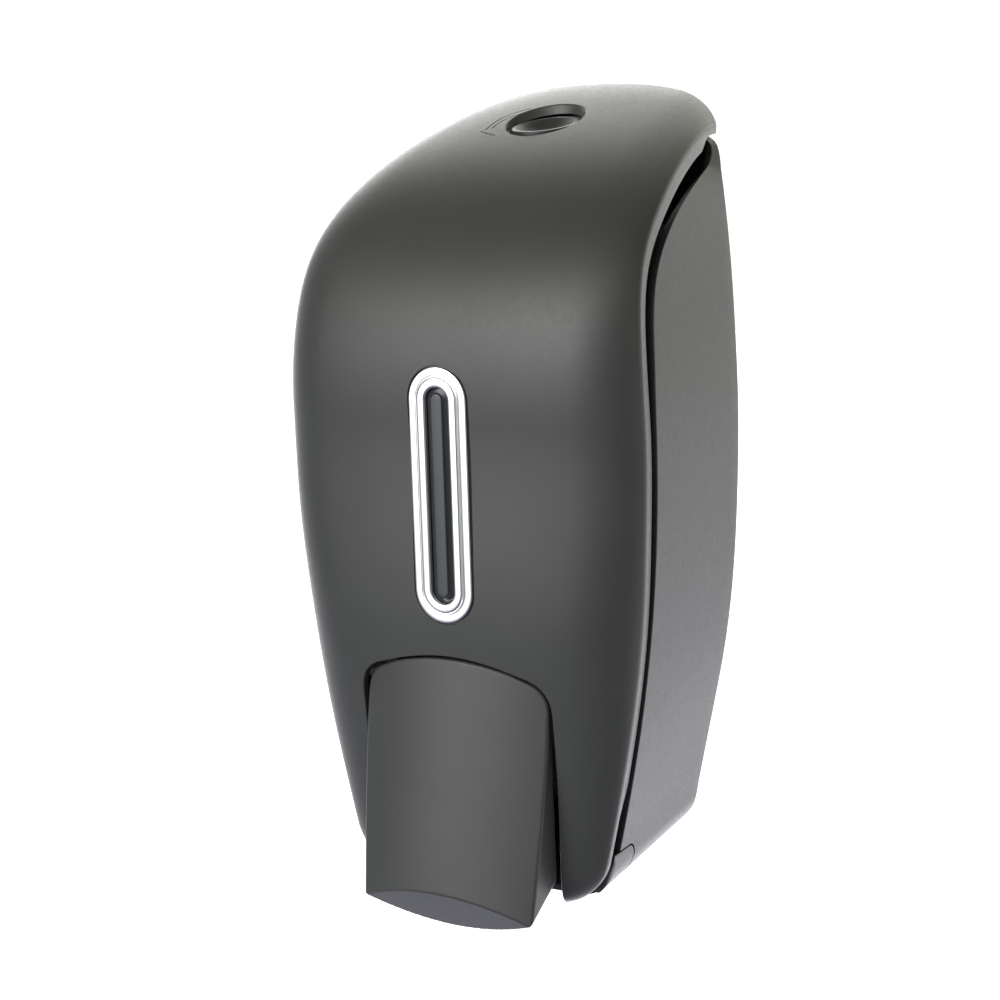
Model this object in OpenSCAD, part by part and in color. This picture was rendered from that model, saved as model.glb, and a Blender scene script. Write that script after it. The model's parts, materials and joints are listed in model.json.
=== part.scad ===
// Wall mounted soap dispenser: a lockable front cover hinged at the bottom of
// a rear housing, a refillable tank with a horizontal piston pump, and a push
// bar in the cover that drives the pump.
// Millimetres. Z is up, the wall is the plane Y = 0 and the front faces -Y.
// The origin is the centre of the four wall screws on the wall plane.
// Inside the modules heights are counted from the lowest point of the push
// bar; placed() moves every piece down to the origin.

/* [Shells] */
// Thickness of the front cover's wall
cover_t = 2.6; // [2.2:0.1:3]
// Thickness of the rear housing's walls
housing_t = 2.4; // [2:0.1:2.8]
// Thickness of the housing's back plate
back_t = 3; // [2.6:0.2:3.4]
// Length of the side band behind the cover's crease, at the bottom
band_low = 3.2; // [2.6:0.1:3.8]
// Length of the side band behind the cover's crease, at the wall
band_high = 2.8; // [2.4:0.1:3.4]

/* [Wall mounting] */
// Height of the screw pattern's centre above the lowest point
mount_z = 125; // [115:5:135]
// Spacing of the wall screws across
screw_dx = 50; // [40:5:60]
// Spacing of the wall screws up and down
screw_dz = 110; // [90:10:120]
// Radius of the wall screw holes
screw_hole_r = 2.5; // [2:0.25:3]

/* [Window] */
// Distance between the centres of the window's round ends
window_len = 55.2; // [40:0.2:58]
// Outer radius of the bezel
bezel_r = 9.5; // [8.5:0.1:10]
// Radius of the slot that shows the lens
slot_r = 3.7; // [3:0.1:4]

/* [Push bar] */
// Half width of the push bar at its pivot
bar_half = 31; // [29:0.5:32]
// Gap between the push bar and the opening in the cover
bar_gap = 1.9; // [1.2:0.1:2]
// Wall thickness of the push bar
bar_t = 2.5; // [2:0.1:3]

/* [Cover hinge] */
// Distance of the hinge axis in front of the wall
hinge_y = 58; // [57:0.5:59]
// Height of the hinge axis above the lowest point
hinge_z = 17.5; // [17:0.5:18]
// Radius of the hinge pins
hinge_pin_r = 2; // [1.5:0.25:2.5]

/* [Pump] */
// Distance of the pump's inlet and nozzle in front of the wall
pump_y = 39; // [37:1:40]
// Height of the pump's bore above the lowest point
pump_z = 38; // [36:0.5:39]
// Radius of the pump's bore
bore_r = 8.5; // [7.5:0.5:9]
// Radius of the plunger's rod
rod_r = 4; // [3:0.5:4.5]
// Radial clearance of the running fits
run_gap = 0.05; // [0.02:0.01:0.08]

/* [Tank] */
// Half width of the tank
tank_half = 42; // [36:1:42]
// Wall thickness of the tank
tank_t = 2; // [1.5:0.5:2.5]
// Height of the tank's floor above the lowest point
tank_z0 = 66; // [66:1:67]
// Height of the tank's top above the lowest point
tank_z1 = 206; // [190:2:206]

/* [Lock] */
// Radius of the lock plug
plug_r = 10.5; // [9.5:0.1:10.7]
// Tilt of the lock's axis from the vertical
lock_tilt = 15; // [12:1:18]

/* [Hidden] */
$fn = 64;
eps = 0.01;

// ---- shape of the cover --------------------------------------------------
// Sections 0 to 5 are level, at these heights; sections 5 to 11 fan back
// about the line Y = 0, Z = 150 in steps of 15 degrees, up to the wall.
sect_z = [8, 35, 65, 95, 122, 150];
// Distance of the middle of the front from the wall, or from the fan line
front_d = [80.2, 84.3, 88.2, 91.7, 93, 94.8, 98.5, 98.7, 96.3, 94, 95, 100];
// Distance of the side crease from the wall, or from the fan line
crease_d = [72.6, 74.5, 76.4, 78.4, 81.2, 83.1, 86.8, 90.9, 88.7, 86.1, 85.6, 86.5];
// Half width at the crease
crease_x = [40.5, 46.7, 52.6, 56.6, 58.6, 59, 57.9, 55.7, 53.2, 49.9, 46, 41.3];
// Roundness of the section: low, middle and at the wall
round_n = [2.9, 2.5, 2.3];
fan_z = 150;
// Bottom corners
corner_r = 14;
corner_z = 22;
// Distance of the housing's rim behind the crease
rim_g = [8.8, 8.8, 8.3, 8.2, 9.2, 9.2, 11, 11.3, 10.8, 11.6, 11.9, 10.5];
// Half width of the housing at the wall, every 25 mm of height from 25 up
wall_x = [38.2, 42.9, 47.4, 49.9, 50.7, 50.5, 49, 46.7, 43.2];

// Smooth curve through a list of values a unit apart
function curve(k, t) = let (n = len(k) - 1, i = min(max(floor(t), 0), n - 1), u = t - i,
    b = k[i], c = k[i + 1], a = i > 0 ? k[i - 1] : 2 * b - c, d = i < n - 1 ? k[i + 2] : 2 * c - b)
    0.5 * (2 * b + (c - a) * u + (2 * a - 5 * b + 4 * c - d) * u * u + (3 * b - a - 3 * c + d) * u * u * u);
function mixed(a, b, u) = a + (b - a) * u;
function clamped(x, a, b) = min(max(x, a), b);
function level_z(t) = t >= 5 ? fan_z : let (i = floor(max(t, 0))) mixed(sect_z[i], sect_z[i + 1], t - i);
function fan(t) = 15 * max(t - 5, 0);
function corner(z) = z < corner_z ? corner_r * (1 - sqrt(max(0, 1 - pow((corner_z - z) / corner_r, 2)))) : 0;
function side_x(t) = curve(crease_x, t) - corner(level_z(t));
function exponent(t) = t < 5 ? mixed(round_n[0], round_n[1], t / 5) : mixed(round_n[1], round_n[2], (t - 5) / 6);
function taper(t) = t < 5 ? 0.1 : mixed(0.1, 0.045, (t - 5) / 6);
function band(t) = t < 5 ? band_low : mixed(band_low, band_high, pow((t - 5) / 6, 1.3));
function tongue(t) = 0.1 + 3.3 * clamped((t - 0.85) * 2, 0, 1) * clamped((10.55 - t) * 3, 0, 1);
// A point of section t, x to the side and d away from the wall or fan line
function placed_pt(t, x, d) = [x, -d * cos(fan(t)) - 0.4, level_z(t) + d * sin(fan(t))];
// Outer arc of a section, inset by k, for s from -1 to 1
function arc_d(t, s, k) = let (e = curve(crease_d, t), r = curve(front_d, t) - k, n = exponent(t))
    e + (r - e) * pow(max(0, 1 - pow(abs(s), n)), 1 / n);
function cover_loop(t, m) = let (w = side_x(t), e = curve(crease_d, t), b = band(t), g = tongue(t), s = taper(t),
        xb = w - s * b, xt = xb - 1.2, xg = xt - s * g, xi = w - cover_t - 0.1)
    concat(
        [for (j = [-m : m]) let (q = sin(90 * j / m)) placed_pt(t, w * q, arc_d(t, q, 0))],
        [placed_pt(t, xb, e - b), placed_pt(t, xt, e - b), placed_pt(t, xg, e - b - g), placed_pt(t, xg - 1.4, e - b - g)],
        [for (j = [m : -1 : -m]) let (q = sin(90 * j / m)) placed_pt(t, xi * q, arc_d(t, q, cover_t) - (abs(j) == m ? 1.2 : 0))],
        [placed_pt(t, -xg + 1.4, e - b - g), placed_pt(t, -xg, e - b - g), placed_pt(t, -xt, e - b), placed_pt(t, -xb, e - b)]
    );
cover_t_list = concat([0, 0.05, 0.13, 0.24, 0.38, 0.54], [for (i = [3 : 37]) i * 0.275], [10.4, 10.6, 10.8, 11]);

// Triangles that close the end of a convex loop of m points
function fan_cap(m) = [for (i = [1 : m - 2]) [0, i, i + 1]];
// Triangles that close the end of a cover section with 2m + 1 points along each arc
function cover_cap(m) = let (q = 4 * m + 5) concat(
    [for (j = [0 : 2 * m - 1]) for (f = [0, 1]) let (c = q + 0 - j, d = q - 1 - j)
        f == 0 ? [j, j + 1, d] : [j, d, c]],
    let (o = 2 * m) [[o, o + 1, o + 2], [o, o + 2, o + 5], [o + 2, o + 3, o + 4], [o + 2, o + 4, o + 5]],
    [[0, q + 3, q + 4], [0, q, q + 3], [q + 3, q + 1, q + 2], [q + 3, q, q + 1]]);
// Closed body through a list of loops that all have the same number of points
module loft(loops, cap) {
    m = len(loops[0]);
    n = len(loops);
    polyhedron(
        points = [for (l = loops) for (p = l) p],
        faces = concat(
            cap,
            [for (k = [0 : n - 2]) for (i = [0 : m - 1]) for (f = [0, 1])
                let (a = k * m + i, b = k * m + (i + 1) % m)
                f == 0 ? [a, a + m, b + m] : [a, b + m, b]],
            [for (c = cap) [(n - 1) * m + c[2], (n - 1) * m + c[1], (n - 1) * m + c[0]]]
        ),
        convexity = 8
    );
}

// ---- outline of the housing ----------------------------------------------
function wall_half(z) = curve(wall_x, (z - 25) / 25);
// Each station is [rim point, wall point], from the bottom middle up the right side to the top middle
rim_t = concat([0.72], [for (i = [2 : 21]) i * 0.5], [10.6]);
top_arch = [[42.5, 229.5], [41.5, 231.6], [39.4, 232.8], [37.2, 233.7], [34.6, 236.2], [29, 239.2], [20, 241.4], [10, 242.7], [0, 243.2]];
stations = concat(
    [for (x = [0, 16]) [[x, -64.4, 7.6 + x / 50], [x * 0.86, 0, 13.1 + x / 50]]],
    [for (a = [270 : 15 : 360]) [
        [28.9 + corner_r * cos(a), -64.4 - 0.04 * (a - 270) / 6, corner_z + corner_r * sin(a)],
        [25.4 + 13 * cos(a), 0, 26.5 + 13 * sin(a)]]],
    [for (t = rim_t) let (g = curve(rim_g, t), e = curve(crease_d, t) - g, z = level_z(t) + e * sin(fan(t)),
        zb = mixed(26.5, 224.5, (z - 22) / 202.5))
        [[curve(crease_x, t) - corner(level_z(t)) - taper(t) * g, -e * cos(fan(t)), z], [wall_half(zb), 0, zb]]],
    [for (q = top_arch) [[q[0] + 0.1, -4.8, q[1] - 0.7], [q[0], 0, q[1]]]]
);
nh = len(stations);
function mirrored(p) = [-p[0], p[1], p[2]];
ring = concat(stations, [for (i = [nh - 2 : -1 : 1]) [mirrored(stations[i][0]), mirrored(stations[i][1])]]);
nr = len(ring);
// Level strips of triangles across the ring
ring_cap = [for (i = [0 : nh - 2]) for (f = [0, 1])
    let (a = i, b = i + 1, c = (nr - i - 1) % nr, d = (nr - i) % nr)
    if ((f == 0 && b != c) || (f == 1 && a != d)) f == 0 ? [a, b, c] : [a, c, d]];
// Inward direction of the outline k (0 rim, 1 wall) at station i
function inward(i, k) = let (a = ring[(i + nr - 1) % nr][k], b = ring[(i + 1) % nr][k], dx = b[0] - a[0], dz = b[2] - a[2],
    l = sqrt(dx * dx + dz * dz)) [-dz / l, 0, dx / l];
function between(i, u) = ring[i][1] + (ring[i][0] - ring[i][1]) * u;
function at_depth(i, y) = between(i, y / ring[i][0][1]);
function housing_loop(i) = let (v = inward(i, 1), w = inward(i, 0)) [
    ring[i][1] + 2 * v, at_depth(i, -0.6) + 0.6 * v, at_depth(i, -2),
    ring[i][0], ring[i][0] + housing_t * w,
    at_depth(i, -back_t) + (housing_t + 0.3) * v];
module housing_tub() {
    k = 6;
    polyhedron(
        points = [for (i = [0 : nr - 1]) for (p = housing_loop(i)) p],
        faces = concat(
            [for (i = [0 : nr - 1]) for (j = [0 : k - 2]) for (f = [0, 1])
                let (a = i * k + j, b = ((i + 1) % nr) * k + j)
                f == 0 ? [a, a + 1, b + 1] : [a, b + 1, b]],
            [for (c = ring_cap) [c[0] * k, c[1] * k, c[2] * k]],
            [for (c = ring_cap) [c[2] * k + k - 1, c[1] * k + k - 1, c[0] * k + k - 1]]
        ),
        convexity = 6
    );
}
// Solid body inside the housing's outer skin, carried forward to the cover's band
module housing_solid() {
    polyhedron(
        points = concat([for (i = [0 : nr - 1]) ring[i][1]], [for (i = [0 : nr - 1]) between(i, 1.075)]),
        faces = concat(
            [for (i = [0 : nr - 1]) for (f = [0, 1]) let (b = (i + 1) % nr) f == 0 ? [i, i + nr, b + nr] : [i, b + nr, b]],
            ring_cap,
            [for (c = ring_cap) [nr + c[2], nr + c[1], nr + c[0]]]
        ),
        convexity = 4
    );
}

// ---- helpers ---------------------------------------------------------------
module placed() { translate([0, 0, -mount_z]) children(); }
module both_sides() { children(); mirror([1, 0, 0]) children(); }
// Rod along +X, starting at x
module rod_x(x, y, z, r, l) { translate([x, y, z]) rotate([0, 90, 0]) cylinder(r = r, h = l); }
// Rod along +Y, starting at y
module rod_y(x, y, z, r, l) { translate([x, y, z]) rotate([-90, 0, 0]) cylinder(r = r, h = l); }
// Shape drawn in Y and Z, extruded along X from x
module side_shape(x, l) { translate([x, 0, 0]) rotate([90, 0, 90]) linear_extrude(height = l) children(); }
// Shape drawn in X and Z, extruded along Y from y to y + l
module front_shape(y, l) { translate([0, y + l, 0]) rotate([90, 0, 0]) linear_extrude(height = l) children(); }
module stadium(r, l) {
    translate([0, l / 2]) circle(r);
    translate([0, -l / 2]) circle(r);
    translate([-r, -l / 2]) square([2 * r, l]);
}
// Frame of the window: Y = 0 is the cover's outer surface
module on_front() { translate([0, -94, 129.5]) rotate([3.47, 0, 0]) children(); }
module window_slab(r, y, l) { front_shape(y, l) stadium(r, window_len); }
// Frame of the lock: Z = 0 is the top of the plug's ring, Z runs along the lock's axis
module on_lock() { translate([0, -34, 235.2]) rotate([lock_tilt, 0, 0]) children(); }
// Pan head screw along -Y, head in front of y
module screw_y(x, y, z, l) {
    rod_y(x, y - 2, z, 3.2, 2);
    rod_y(x, y - 0.1, z, 1.45, l);
}

// ---- push bar outline ------------------------------------------------------
bar_top = 81.4;
function bar_x(z) = bar_half - 1.95 + 1.95 * sin(90 * clamped((z - 6) / 55, 0, 1));
// Sides and arched top, grown by g, from height z0 up
function bar_sides(g, z0) = let (h = bar_half + g) concat(
    [for (z = [z0, 14, 22, 32, 44, 56, 66]) [bar_x(z) + g, z]],
    [for (a = [10 : 10 : 80]) [h - 9 + 9 * cos(a), 68 + g * 0.5 + 9 * sin(a) * (1 + 0.02 * g)]],
    [for (x = [18, 12, 6, 0]) [x, bar_top + g * 0.5 - 3.6 * pow(x / 22, 2)]]
);
function closed_half(l) = concat(l, [for (i = [len(l) - 2 : -1 : 0]) [-l[i][0], l[i][1]]]);
module bar_outline(g, z0) { polygon(closed_half(bar_sides(g, z0))); }
// Everything above the arched underside, which runs back and up
module above_underside(k) {
    translate([0, -88, 0.8 + k]) rotate([35, 0, 0]) front_shape(-40, 80)
        polygon(concat([[40, 90]], [for (x = [36 : -6 : -36]) [x, 8.6 * cos(35) * pow(x / 29.1, 2)]], [[-40, 90]]));
}
// Everything behind the tilted cylinder that forms the front face
module behind_front(k) {
    translate([0, -95.4 + 90, 20]) rotate([-4.8, 0, 0]) translate([0, 0, -60]) cylinder(r = 90 - k, h = 160, $fn = 180);
}
// Everything behind the chamfer along the lower edge
module behind_chamfer(k) {
    side_shape(-50, 100) polygon([[-88 + 1.3 * k, 0], [-91.3 + 1.3 * k, 5], [-130.6 + 1.3 * k, 62], [-130.6, 120], [-40, 120], [-40, -10], [-81 + 1.3 * k, -10]]);
}
module bar_solid(g, k) {
    intersection() {
        front_shape(-110, 60) bar_outline(g, -4);
        behind_front(k);
        above_underside(k);
        behind_chamfer(k);
    }
}

// ---- tank outline ----------------------------------------------------------
function corner_pts(c, r, a0, a1) = [for (i = [0 : 4]) let (a = mixed(a0, a1, i / 4)) [c[0] + r * cos(a), c[1] + r * sin(a)]];
// Side view of the tank, inset by k; the first number is Y
function tank_side(k) = let (r = max(8 - k, 1)) concat(
    corner_pts([-17, tank_z0 + 8], r, 270, 360),
    corner_pts([-17, tank_z1 - 8], r, 0, 90),
    corner_pts([-52, tank_z1 - 8], r, 90, 125),
    corner_pts([-74, tank_z1 - 40], r, 140, 180),
    [[-82 + k, 101], [-72.5 + k, 91]],
    corner_pts([-64.5, tank_z0 + 8], r, 180, 270));
module tank_shape(k) {
    intersection() {
        side_shape(-tank_half + k, 2 * (tank_half - k)) polygon(tank_side(k));
        translate([0, 0, tank_z0 + k]) linear_extrude(height = tank_z1 - tank_z0 - 2 * k)
            polygon(concat(
                corner_pts([tank_half - 14, -14.4], max(5 - k, 1), 0, 90), corner_pts([-tank_half + 14, -14.4], max(5 - k, 1), 90, 180),
                [[-tank_half + k, -24]],
                corner_pts([-tank_half + 12, -70], 12 - k, 180, 270), corner_pts([tank_half - 12, -70], 12 - k, 270, 360),
                [[tank_half - k, -24]]));
    }
}

// ============================ fixed pieces ==================================
ear_r = 6;
// Outline of a hinge arm in Y and Z, grown by g
module ear(g, front) {
    translate([-hinge_y, hinge_z]) circle(ear_r + g);
    translate([-front, hinge_z - ear_r - g]) square([front - hinge_y, 2 * (ear_r + g)]);
}
module rear_housing() {
    color("#56585a") placed() difference() {
        union() {
            housing_tub();
            // ribs that carry the hinge pins
            both_sides() side_shape(30.2, 4) polygon([[-51, 9.2], [-51, 19], [-54, 23], [-62.4, 23], [-62.4, 8.8]]);
            // bosses for the shelf's and the catch's screws
            for (x = [-12, 12]) rod_y(x, -6, 57, 4, 4);
            for (x = [-10, 4]) rod_y(x, -6, 221, 4, 4);
        }
        for (x = [-1, 1], z = [-1, 1])
            rod_y(x * screw_dx / 2, -12, mount_z + z * screw_dz / 2, screw_hole_r, 14);
        // the hinge arms swing down through these cut-outs
        both_sides() side_shape(34.7, 20) { ear(0.5, 80); translate([-80, -5]) square([80 - hinge_y + ear_r + 0.5, hinge_z + 5]); }
        both_sides() rod_x(29, -hinge_y, hinge_z, hinge_pin_r, 8);
        // opening for the nozzle
        translate([-9, -80, 4]) cube([18, 80 - pump_y, 8]);
        translate([0, -pump_y, 4]) cylinder(r = 9, h = 10);
        for (x = [-12, 12]) rod_y(x, -8, 57, 1.5, 7);
        for (x = [-10, 4]) rod_y(x, -8, 221, 1.5, 7);
    }
}
module hinge_pins() {
    color("silver") placed() both_sides() rod_x(30.4, -hinge_y, hinge_z, hinge_pin_r, 8.6);
}
module tank_shelf() {
    color("#3a3c3d") placed() difference() {
        union() {
            translate([-38, -70, 62.4]) cube([76, 60, 3.2]);
            translate([-38, -10.1, 62.4]) cube([76, 3.7, 3.2]);
            translate([-18, -9, 50]) cube([36, 2.8, 13]);
            both_sides() side_shape(20, 2.4) polygon([[-9, 63], [-9, 50], [-6.2, 50], [-6.2, 63], [-50, 63], [-50, 60]]);
        }
        translate([-13, -90, 60]) cube([26, 90 - pump_y, 8]);
        translate([0, -pump_y, 60]) cylinder(r = 13, h = 8);
        for (x = [-12, 12]) rod_y(x, -12, 57, 1.7, 10);
    }
}
module shelf_screws() {
    color("silver") placed() for (x = [-12, 12]) screw_y(x, -9.05, 57, 6);
}
module latch_catch() {
    color("#3a3c3d") placed() difference() {
        union() {
            translate([-15, -8.2, 215.5]) cube([32.5, 2.2, 11]);
            translate([12.9, -40, 220]) cube([4.6, 33.5, 2.6]);
            translate([12.9, -40, 220]) cube([4.6, 3.3, 6]);
            side_shape(12.9, 4.6) polygon([[-8, 215.5], [-6, 215.5], [-6, 222.6], [-20, 222.6], [-20, 220]]);
        }
        for (x = [-10, 4]) rod_y(x, -12, 221, 1.7, 10);
    }
}
module catch_screws() {
    color("silver") placed() for (x = [-10, 4]) screw_y(x, -8.25, 221, 6);
}
module tank() {
    color([0.86, 0.88, 0.86, 0.75]) placed() difference() {
        union() {
            tank_shape(0);
            translate([0, -pump_y, 53.9]) cylinder(r = 12, h = 14.4);
            translate([0, -34, tank_z1 - 3]) cylinder(r = 17, h = 11);
            // bayonet lugs
            for (a = [0, 180]) translate([0, -34, tank_z1 + 4.5]) rotate([0, 0, a]) intersection() {
                difference() { cylinder(r = 18.6, h = 2); translate([0, 0, -1]) cylinder(r = 16, h = 4); }
                translate([14, -4, -1]) cube([6, 8, 4]);
            }
            // raised strip behind the window
            translate([-9, -83.4, 102]) cube([18, 3, 60]);
        }
        tank_shape(tank_t);
        translate([0, -pump_y, 50]) cylinder(r = 9, h = 20);
        translate([0, -34, tank_z1 - 6]) cylinder(r = 15, h = 20);
    }
}
module neck_gasket() {
    color("#2b2b2b") placed() translate([0, -pump_y, 52.9]) difference() { cylinder(r = 11.6, h = 0.95); translate([0, 0, -1]) cylinder(r = 9.2, h = 3); }
}
module pump_nut() {
    color("whitesmoke") placed() translate([0, -pump_y, 49.2]) difference() {
        union() {
            cylinder(r = 15.5, h = 12.4);
            for (a = [0 : 30 : 330]) rotate([0, 0, a]) translate([15.2, 0, 0]) cylinder(r = 1.1, h = 12.4);
        }
        translate([0, 0, 1.7]) cylinder(r = 12.15, h = 20);
        translate([0, 0, -1]) cylinder(r = 9.6, h = 5);
    }
}
module pump_body() {
    color("whitesmoke") placed() difference() {
        union() {
            rod_y(0, -61, pump_z, bore_r + 2.5, 28);
            rod_y(0, -61, pump_z, bore_r + 4.5, 2.5);
            translate([0, -pump_y, pump_z]) cylinder(r = 8.6, h = 26);
            translate([0, -pump_y, 50.95]) cylinder(r = 11.6, h = 1.9);
            translate([0, -pump_y, 22]) cylinder(r = 6, h = 10);
        }
        rod_y(0, -64, pump_z, bore_r, 27.5);
        translate([0, -pump_y, pump_z + 4]) cylinder(r = 2.4, h = 30);
        translate([0, -pump_y, 52]) cylinder(r = 6, h = 20);
        translate([0, -pump_y, 20]) cylinder(r = 2.4, h = 14);
    }
}
module pump_gland() {
    color("#d9dadb") placed() difference() {
        union() { rod_y(0, -63.2, pump_z, bore_r + 3.6, 2.1); rod_y(0, -61.2, pump_z, bore_r - 0.1, 4.2); }
        rod_y(0, -70, pump_z, rod_r + run_gap, 16);
    }
}
module inlet_valve() {
    color("#c9a24a") placed() translate([0, -pump_y, 0]) {
        translate([0, 0, 52.05]) cylinder(r = 4.6, h = 0.9);
        translate([0, 0, 52.9]) cylinder(r = 1.6, h = 4);
        translate([0, 0, 56]) sphere(r = 2.2);
    }
}
module outlet_valve() {
    color("#c9a24a") placed() translate([0, -pump_y, 0]) difference() {
        union() { translate([0, 0, 20.9]) cylinder(r = 5.7, h = 1.05); translate([0, 0, 14.9]) cylinder(r1 = 0.9, r2 = 3.1, h = 6.1); }
        translate([0, 0, 16.4]) cylinder(r1 = 0.3, r2 = 2.4, h = 6.6);
    }
}
module nozzle() {
    color("#2e3031") placed() translate([0, -pump_y, 0]) difference() {
        union() { translate([0, 0, 20]) cylinder(r = 7.6, h = 6.8); translate([0, 0, 11]) cylinder(r1 = 4.6, r2 = 7.6, h = 9.01); }
        translate([0, 0, 20.85]) cylinder(r = 6.1, h = 10);
        translate([0, 0, 14.4]) cylinder(r = 4.1, h = 8);
        translate([0, 0, 9]) cylinder(r = 2.6, h = 10);
    }
}
// Helical wire along Y: radius, wire radius, start, length and turns
module coil(r, w, y0, l, turns) {
    n = 14 * turns;
    loft([for (i = [0 : n]) let (a = 360 * turns * i / n, y = y0 + l * i / n, f = l / (2 * PI * turns * r))
        [for (j = [0 : 7]) let (b = 45 * j, u = w * cos(b), v = w * sin(b))
            [(r + u) * cos(a) + v * f * sin(a), y + v, pump_z + (r + u) * sin(a) - v * f * cos(a)]]], fan_cap(8));
}
module return_spring() { color("silver") placed() coil(6.6, 0.65, -70.1, 6.15, 3); }

// ============================ filler cap ====================================
module filler_cap() {
    color("#3a3c3d") placed() translate([0, -34, tank_z1]) difference() {
        union() {
            translate([0, 0, 1.2]) cylinder(r = 21, h = 10.8);
            for (a = [0 : 20 : 340]) rotate([0, 0, a]) translate([20.6, 0, 1.2]) cylinder(r = 1, h = 10.8);
        }
        translate([0, 0, 0]) cylinder(r = 19, h = 9.5);
        translate([0, 0, 11]) for (x = [-1, 1]) translate([x * 10 - 6, -13, 0]) cube([12, 26, 2]);
    }
}
module cap_seal() {
    color("#2b2b2b") placed() translate([0, -34, tank_z1 + 8.15]) difference() { cylinder(r = 17.5, h = 1.25); translate([0, 0, -1]) cylinder(r = 14.6, h = 4); }
}

// ============================ plunger =======================================
module pump_plunger() {
    color("whitesmoke") placed() {
        rod_y(0, -73, pump_z, rod_r, 19);
        difference() {
            rod_y(0, -55.6, pump_z, bore_r - run_gap, 6);
            difference() { rod_y(0, -53.6, pump_z, bore_r + 1, 2); rod_y(0, -53.7, pump_z, bore_r - 1.8, 2.2); }
        }
    }
}
module plunger_seal() {
    color("#2b2b2b") placed() difference() { rod_y(0, -53.5, pump_z, bore_r - 0.02, 1.8); rod_y(0, -54, pump_z, bore_r - 1.75, 3); }
}
module plunger_button() {
    color("#2e3031") placed() difference() {
        rod_y(0, -74, pump_z, 9, 3.2);
        rod_y(0, -73, pump_z, rod_r, 4);
    }
}

// ============================ front cover ===================================
module front_cover() {
    color("#4b4d4e") placed() difference() {
        union() {
            loft([for (t = cover_t_list) cover_loop(t, 12)], cover_cap(12));
            for (x = [-16, 16]) rod_y(x, -89.2, 86.6, 3.5, 3.15);
        }
        for (x = [-16, 16]) rod_y(x, -89.4, 86.6, 1.5, 5);
        // opening for the push bar
        front_shape(-110, 50) bar_outline(bar_gap, 0);
        // seat of the window bezel
        on_front() { window_slab(7.6, -6, 14); window_slab(bezel_r + 0.3, -6, 6.65); }
        // recess of the lock
        on_lock() { translate([0, 0, -1]) cylinder(r1 = 11.2, r2 = 16.2, h = 10); translate([0, 0, -14]) cylinder(r = 11.2, h = 14); }
    }
}
module hinge_arms() {
    color("#4b4d4e") placed() difference() {
        intersection() {
            housing_solid();
            both_sides() side_shape(35.2, 20) ear(0, 69);
        }
        both_sides() rod_x(30, -hinge_y, hinge_z, hinge_pin_r + run_gap, 9.5);
    }
}
module window_bezel() {
    color("gainsboro") placed() on_front() difference() {
        union() {
            window_slab(bezel_r, -0.6, 1.2);
            window_slab(bezel_r - 0.6, -1.2, 0.7);
            window_slab(bezel_r - 2.6, -1.6, 0.5);
            window_slab(7.5, 0.3, 4);
        }
        window_slab(slot_r, -3, 10);
        window_slab(6.4, 0.6, 10);
    }
}
module window_lens() {
    color([0.1, 0.1, 0.11, 0.8]) placed() on_front() {
        window_slab(6.3, 0.65, 1.6);
        window_slab(slot_r - 0.1, -0.5, 1.2);
        window_slab(1.7, -1.1, 0.7);
    }
}
module lens_gasket() {
    color("#1c1c1c") placed() on_front() difference() { window_slab(6.3, 2.3, 1.3); window_slab(4.2, 2, 3); }
}
module bezel_retainer() {
    color("#2e3031") placed() on_front() difference() {
        window_slab(10.4, 3.05, 2.2);
        window_slab(4.6, 0, 10);
        window_slab(7.6, 0, 4.35);
    }
}
pivot_y = 80;
pivot_z = 74;
module push_bar_bracket() {
    color("#3a3c3d") placed() difference() {
        union() {
            translate([-30, -86, 84.6]) cube([60, 8, 4]);
            both_sides() side_shape(22, 3) polygon([[-84, 88.5], [-84.5, 84.6], [-83.5, 71], [-81, 69.5], [-77, 70.5], [-75.5, 75], [-76, 88.5]]);
        }
        both_sides() rod_x(20, -pivot_y, pivot_z, 2, 8);
        for (x = [-16, 16]) rod_y(x, -90, 86.6, 1.7, 16);
    }
}
module bracket_screws() {
    color("silver") placed() for (x = [-16, 16]) { rod_y(x, -77.95, 86.6, 3, 1.8); rod_y(x, -89.3, 86.6, 1.45, 11.4); }
}
module push_bar_pin() { color("silver") placed() rod_x(-26.5, -pivot_y, pivot_z, 2, 53); }
module lock_cup() {
    color("#4b4d4e") placed() on_lock() difference() {
        translate([0, 0, -7.5]) cylinder(r = 14, h = 14);
        translate([0, 0, -5]) cylinder(r = 11.2, h = 20);
        translate([0, 0, -9]) cylinder(r = 6 + run_gap, h = 6);
        // top cut to lie under the sloping roof
        translate([0, 0, -1.7]) rotate([9, 0, 0]) translate([-20, -20, 0]) cube([40, 40, 20]);
    }
}

// ============================ push bar ======================================
module push_bar() {
    color("#4f5152") placed() difference() {
        union() {
            difference() {
                bar_solid(0, 0);
                bar_solid(-bar_t, bar_t);
                // open back
                side_shape(-50, 100) polygon([[-84.4, 100], [-84.4, 81], [-81.4, 10], [-81.4, -10], [-40, -10], [-40, 100]]);
            }
            // ears on the pivot pin
            both_sides() side_shape(18.4, 3) polygon([[-88, 78], [-80, 77.6], [-76.6, 75.5], [-76.6, 72], [-79, 70.2], [-89, 60]]);
            // rib and nose that press the plunger
            side_shape(-5, 10) polygon([[-93, 44], [-81, 42.5], [-81, 33.5], [-93, 30]]);
            rod_x(-7, -80.8, pump_z, 4.5, 14);
        }
        rod_x(-30, -pivot_y, pivot_z, 2 + run_gap, 60);
    }
}
module pusher_pad() {
    color("#1c1c1c") placed() difference() {
        rod_x(-7, -80.8, pump_z, 6.5, 14);
        rod_x(-8, -80.8, pump_z, 4.52, 16);
        translate([-20, -101, 20]) cube([40, 21, 40]);
    }
}

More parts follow.
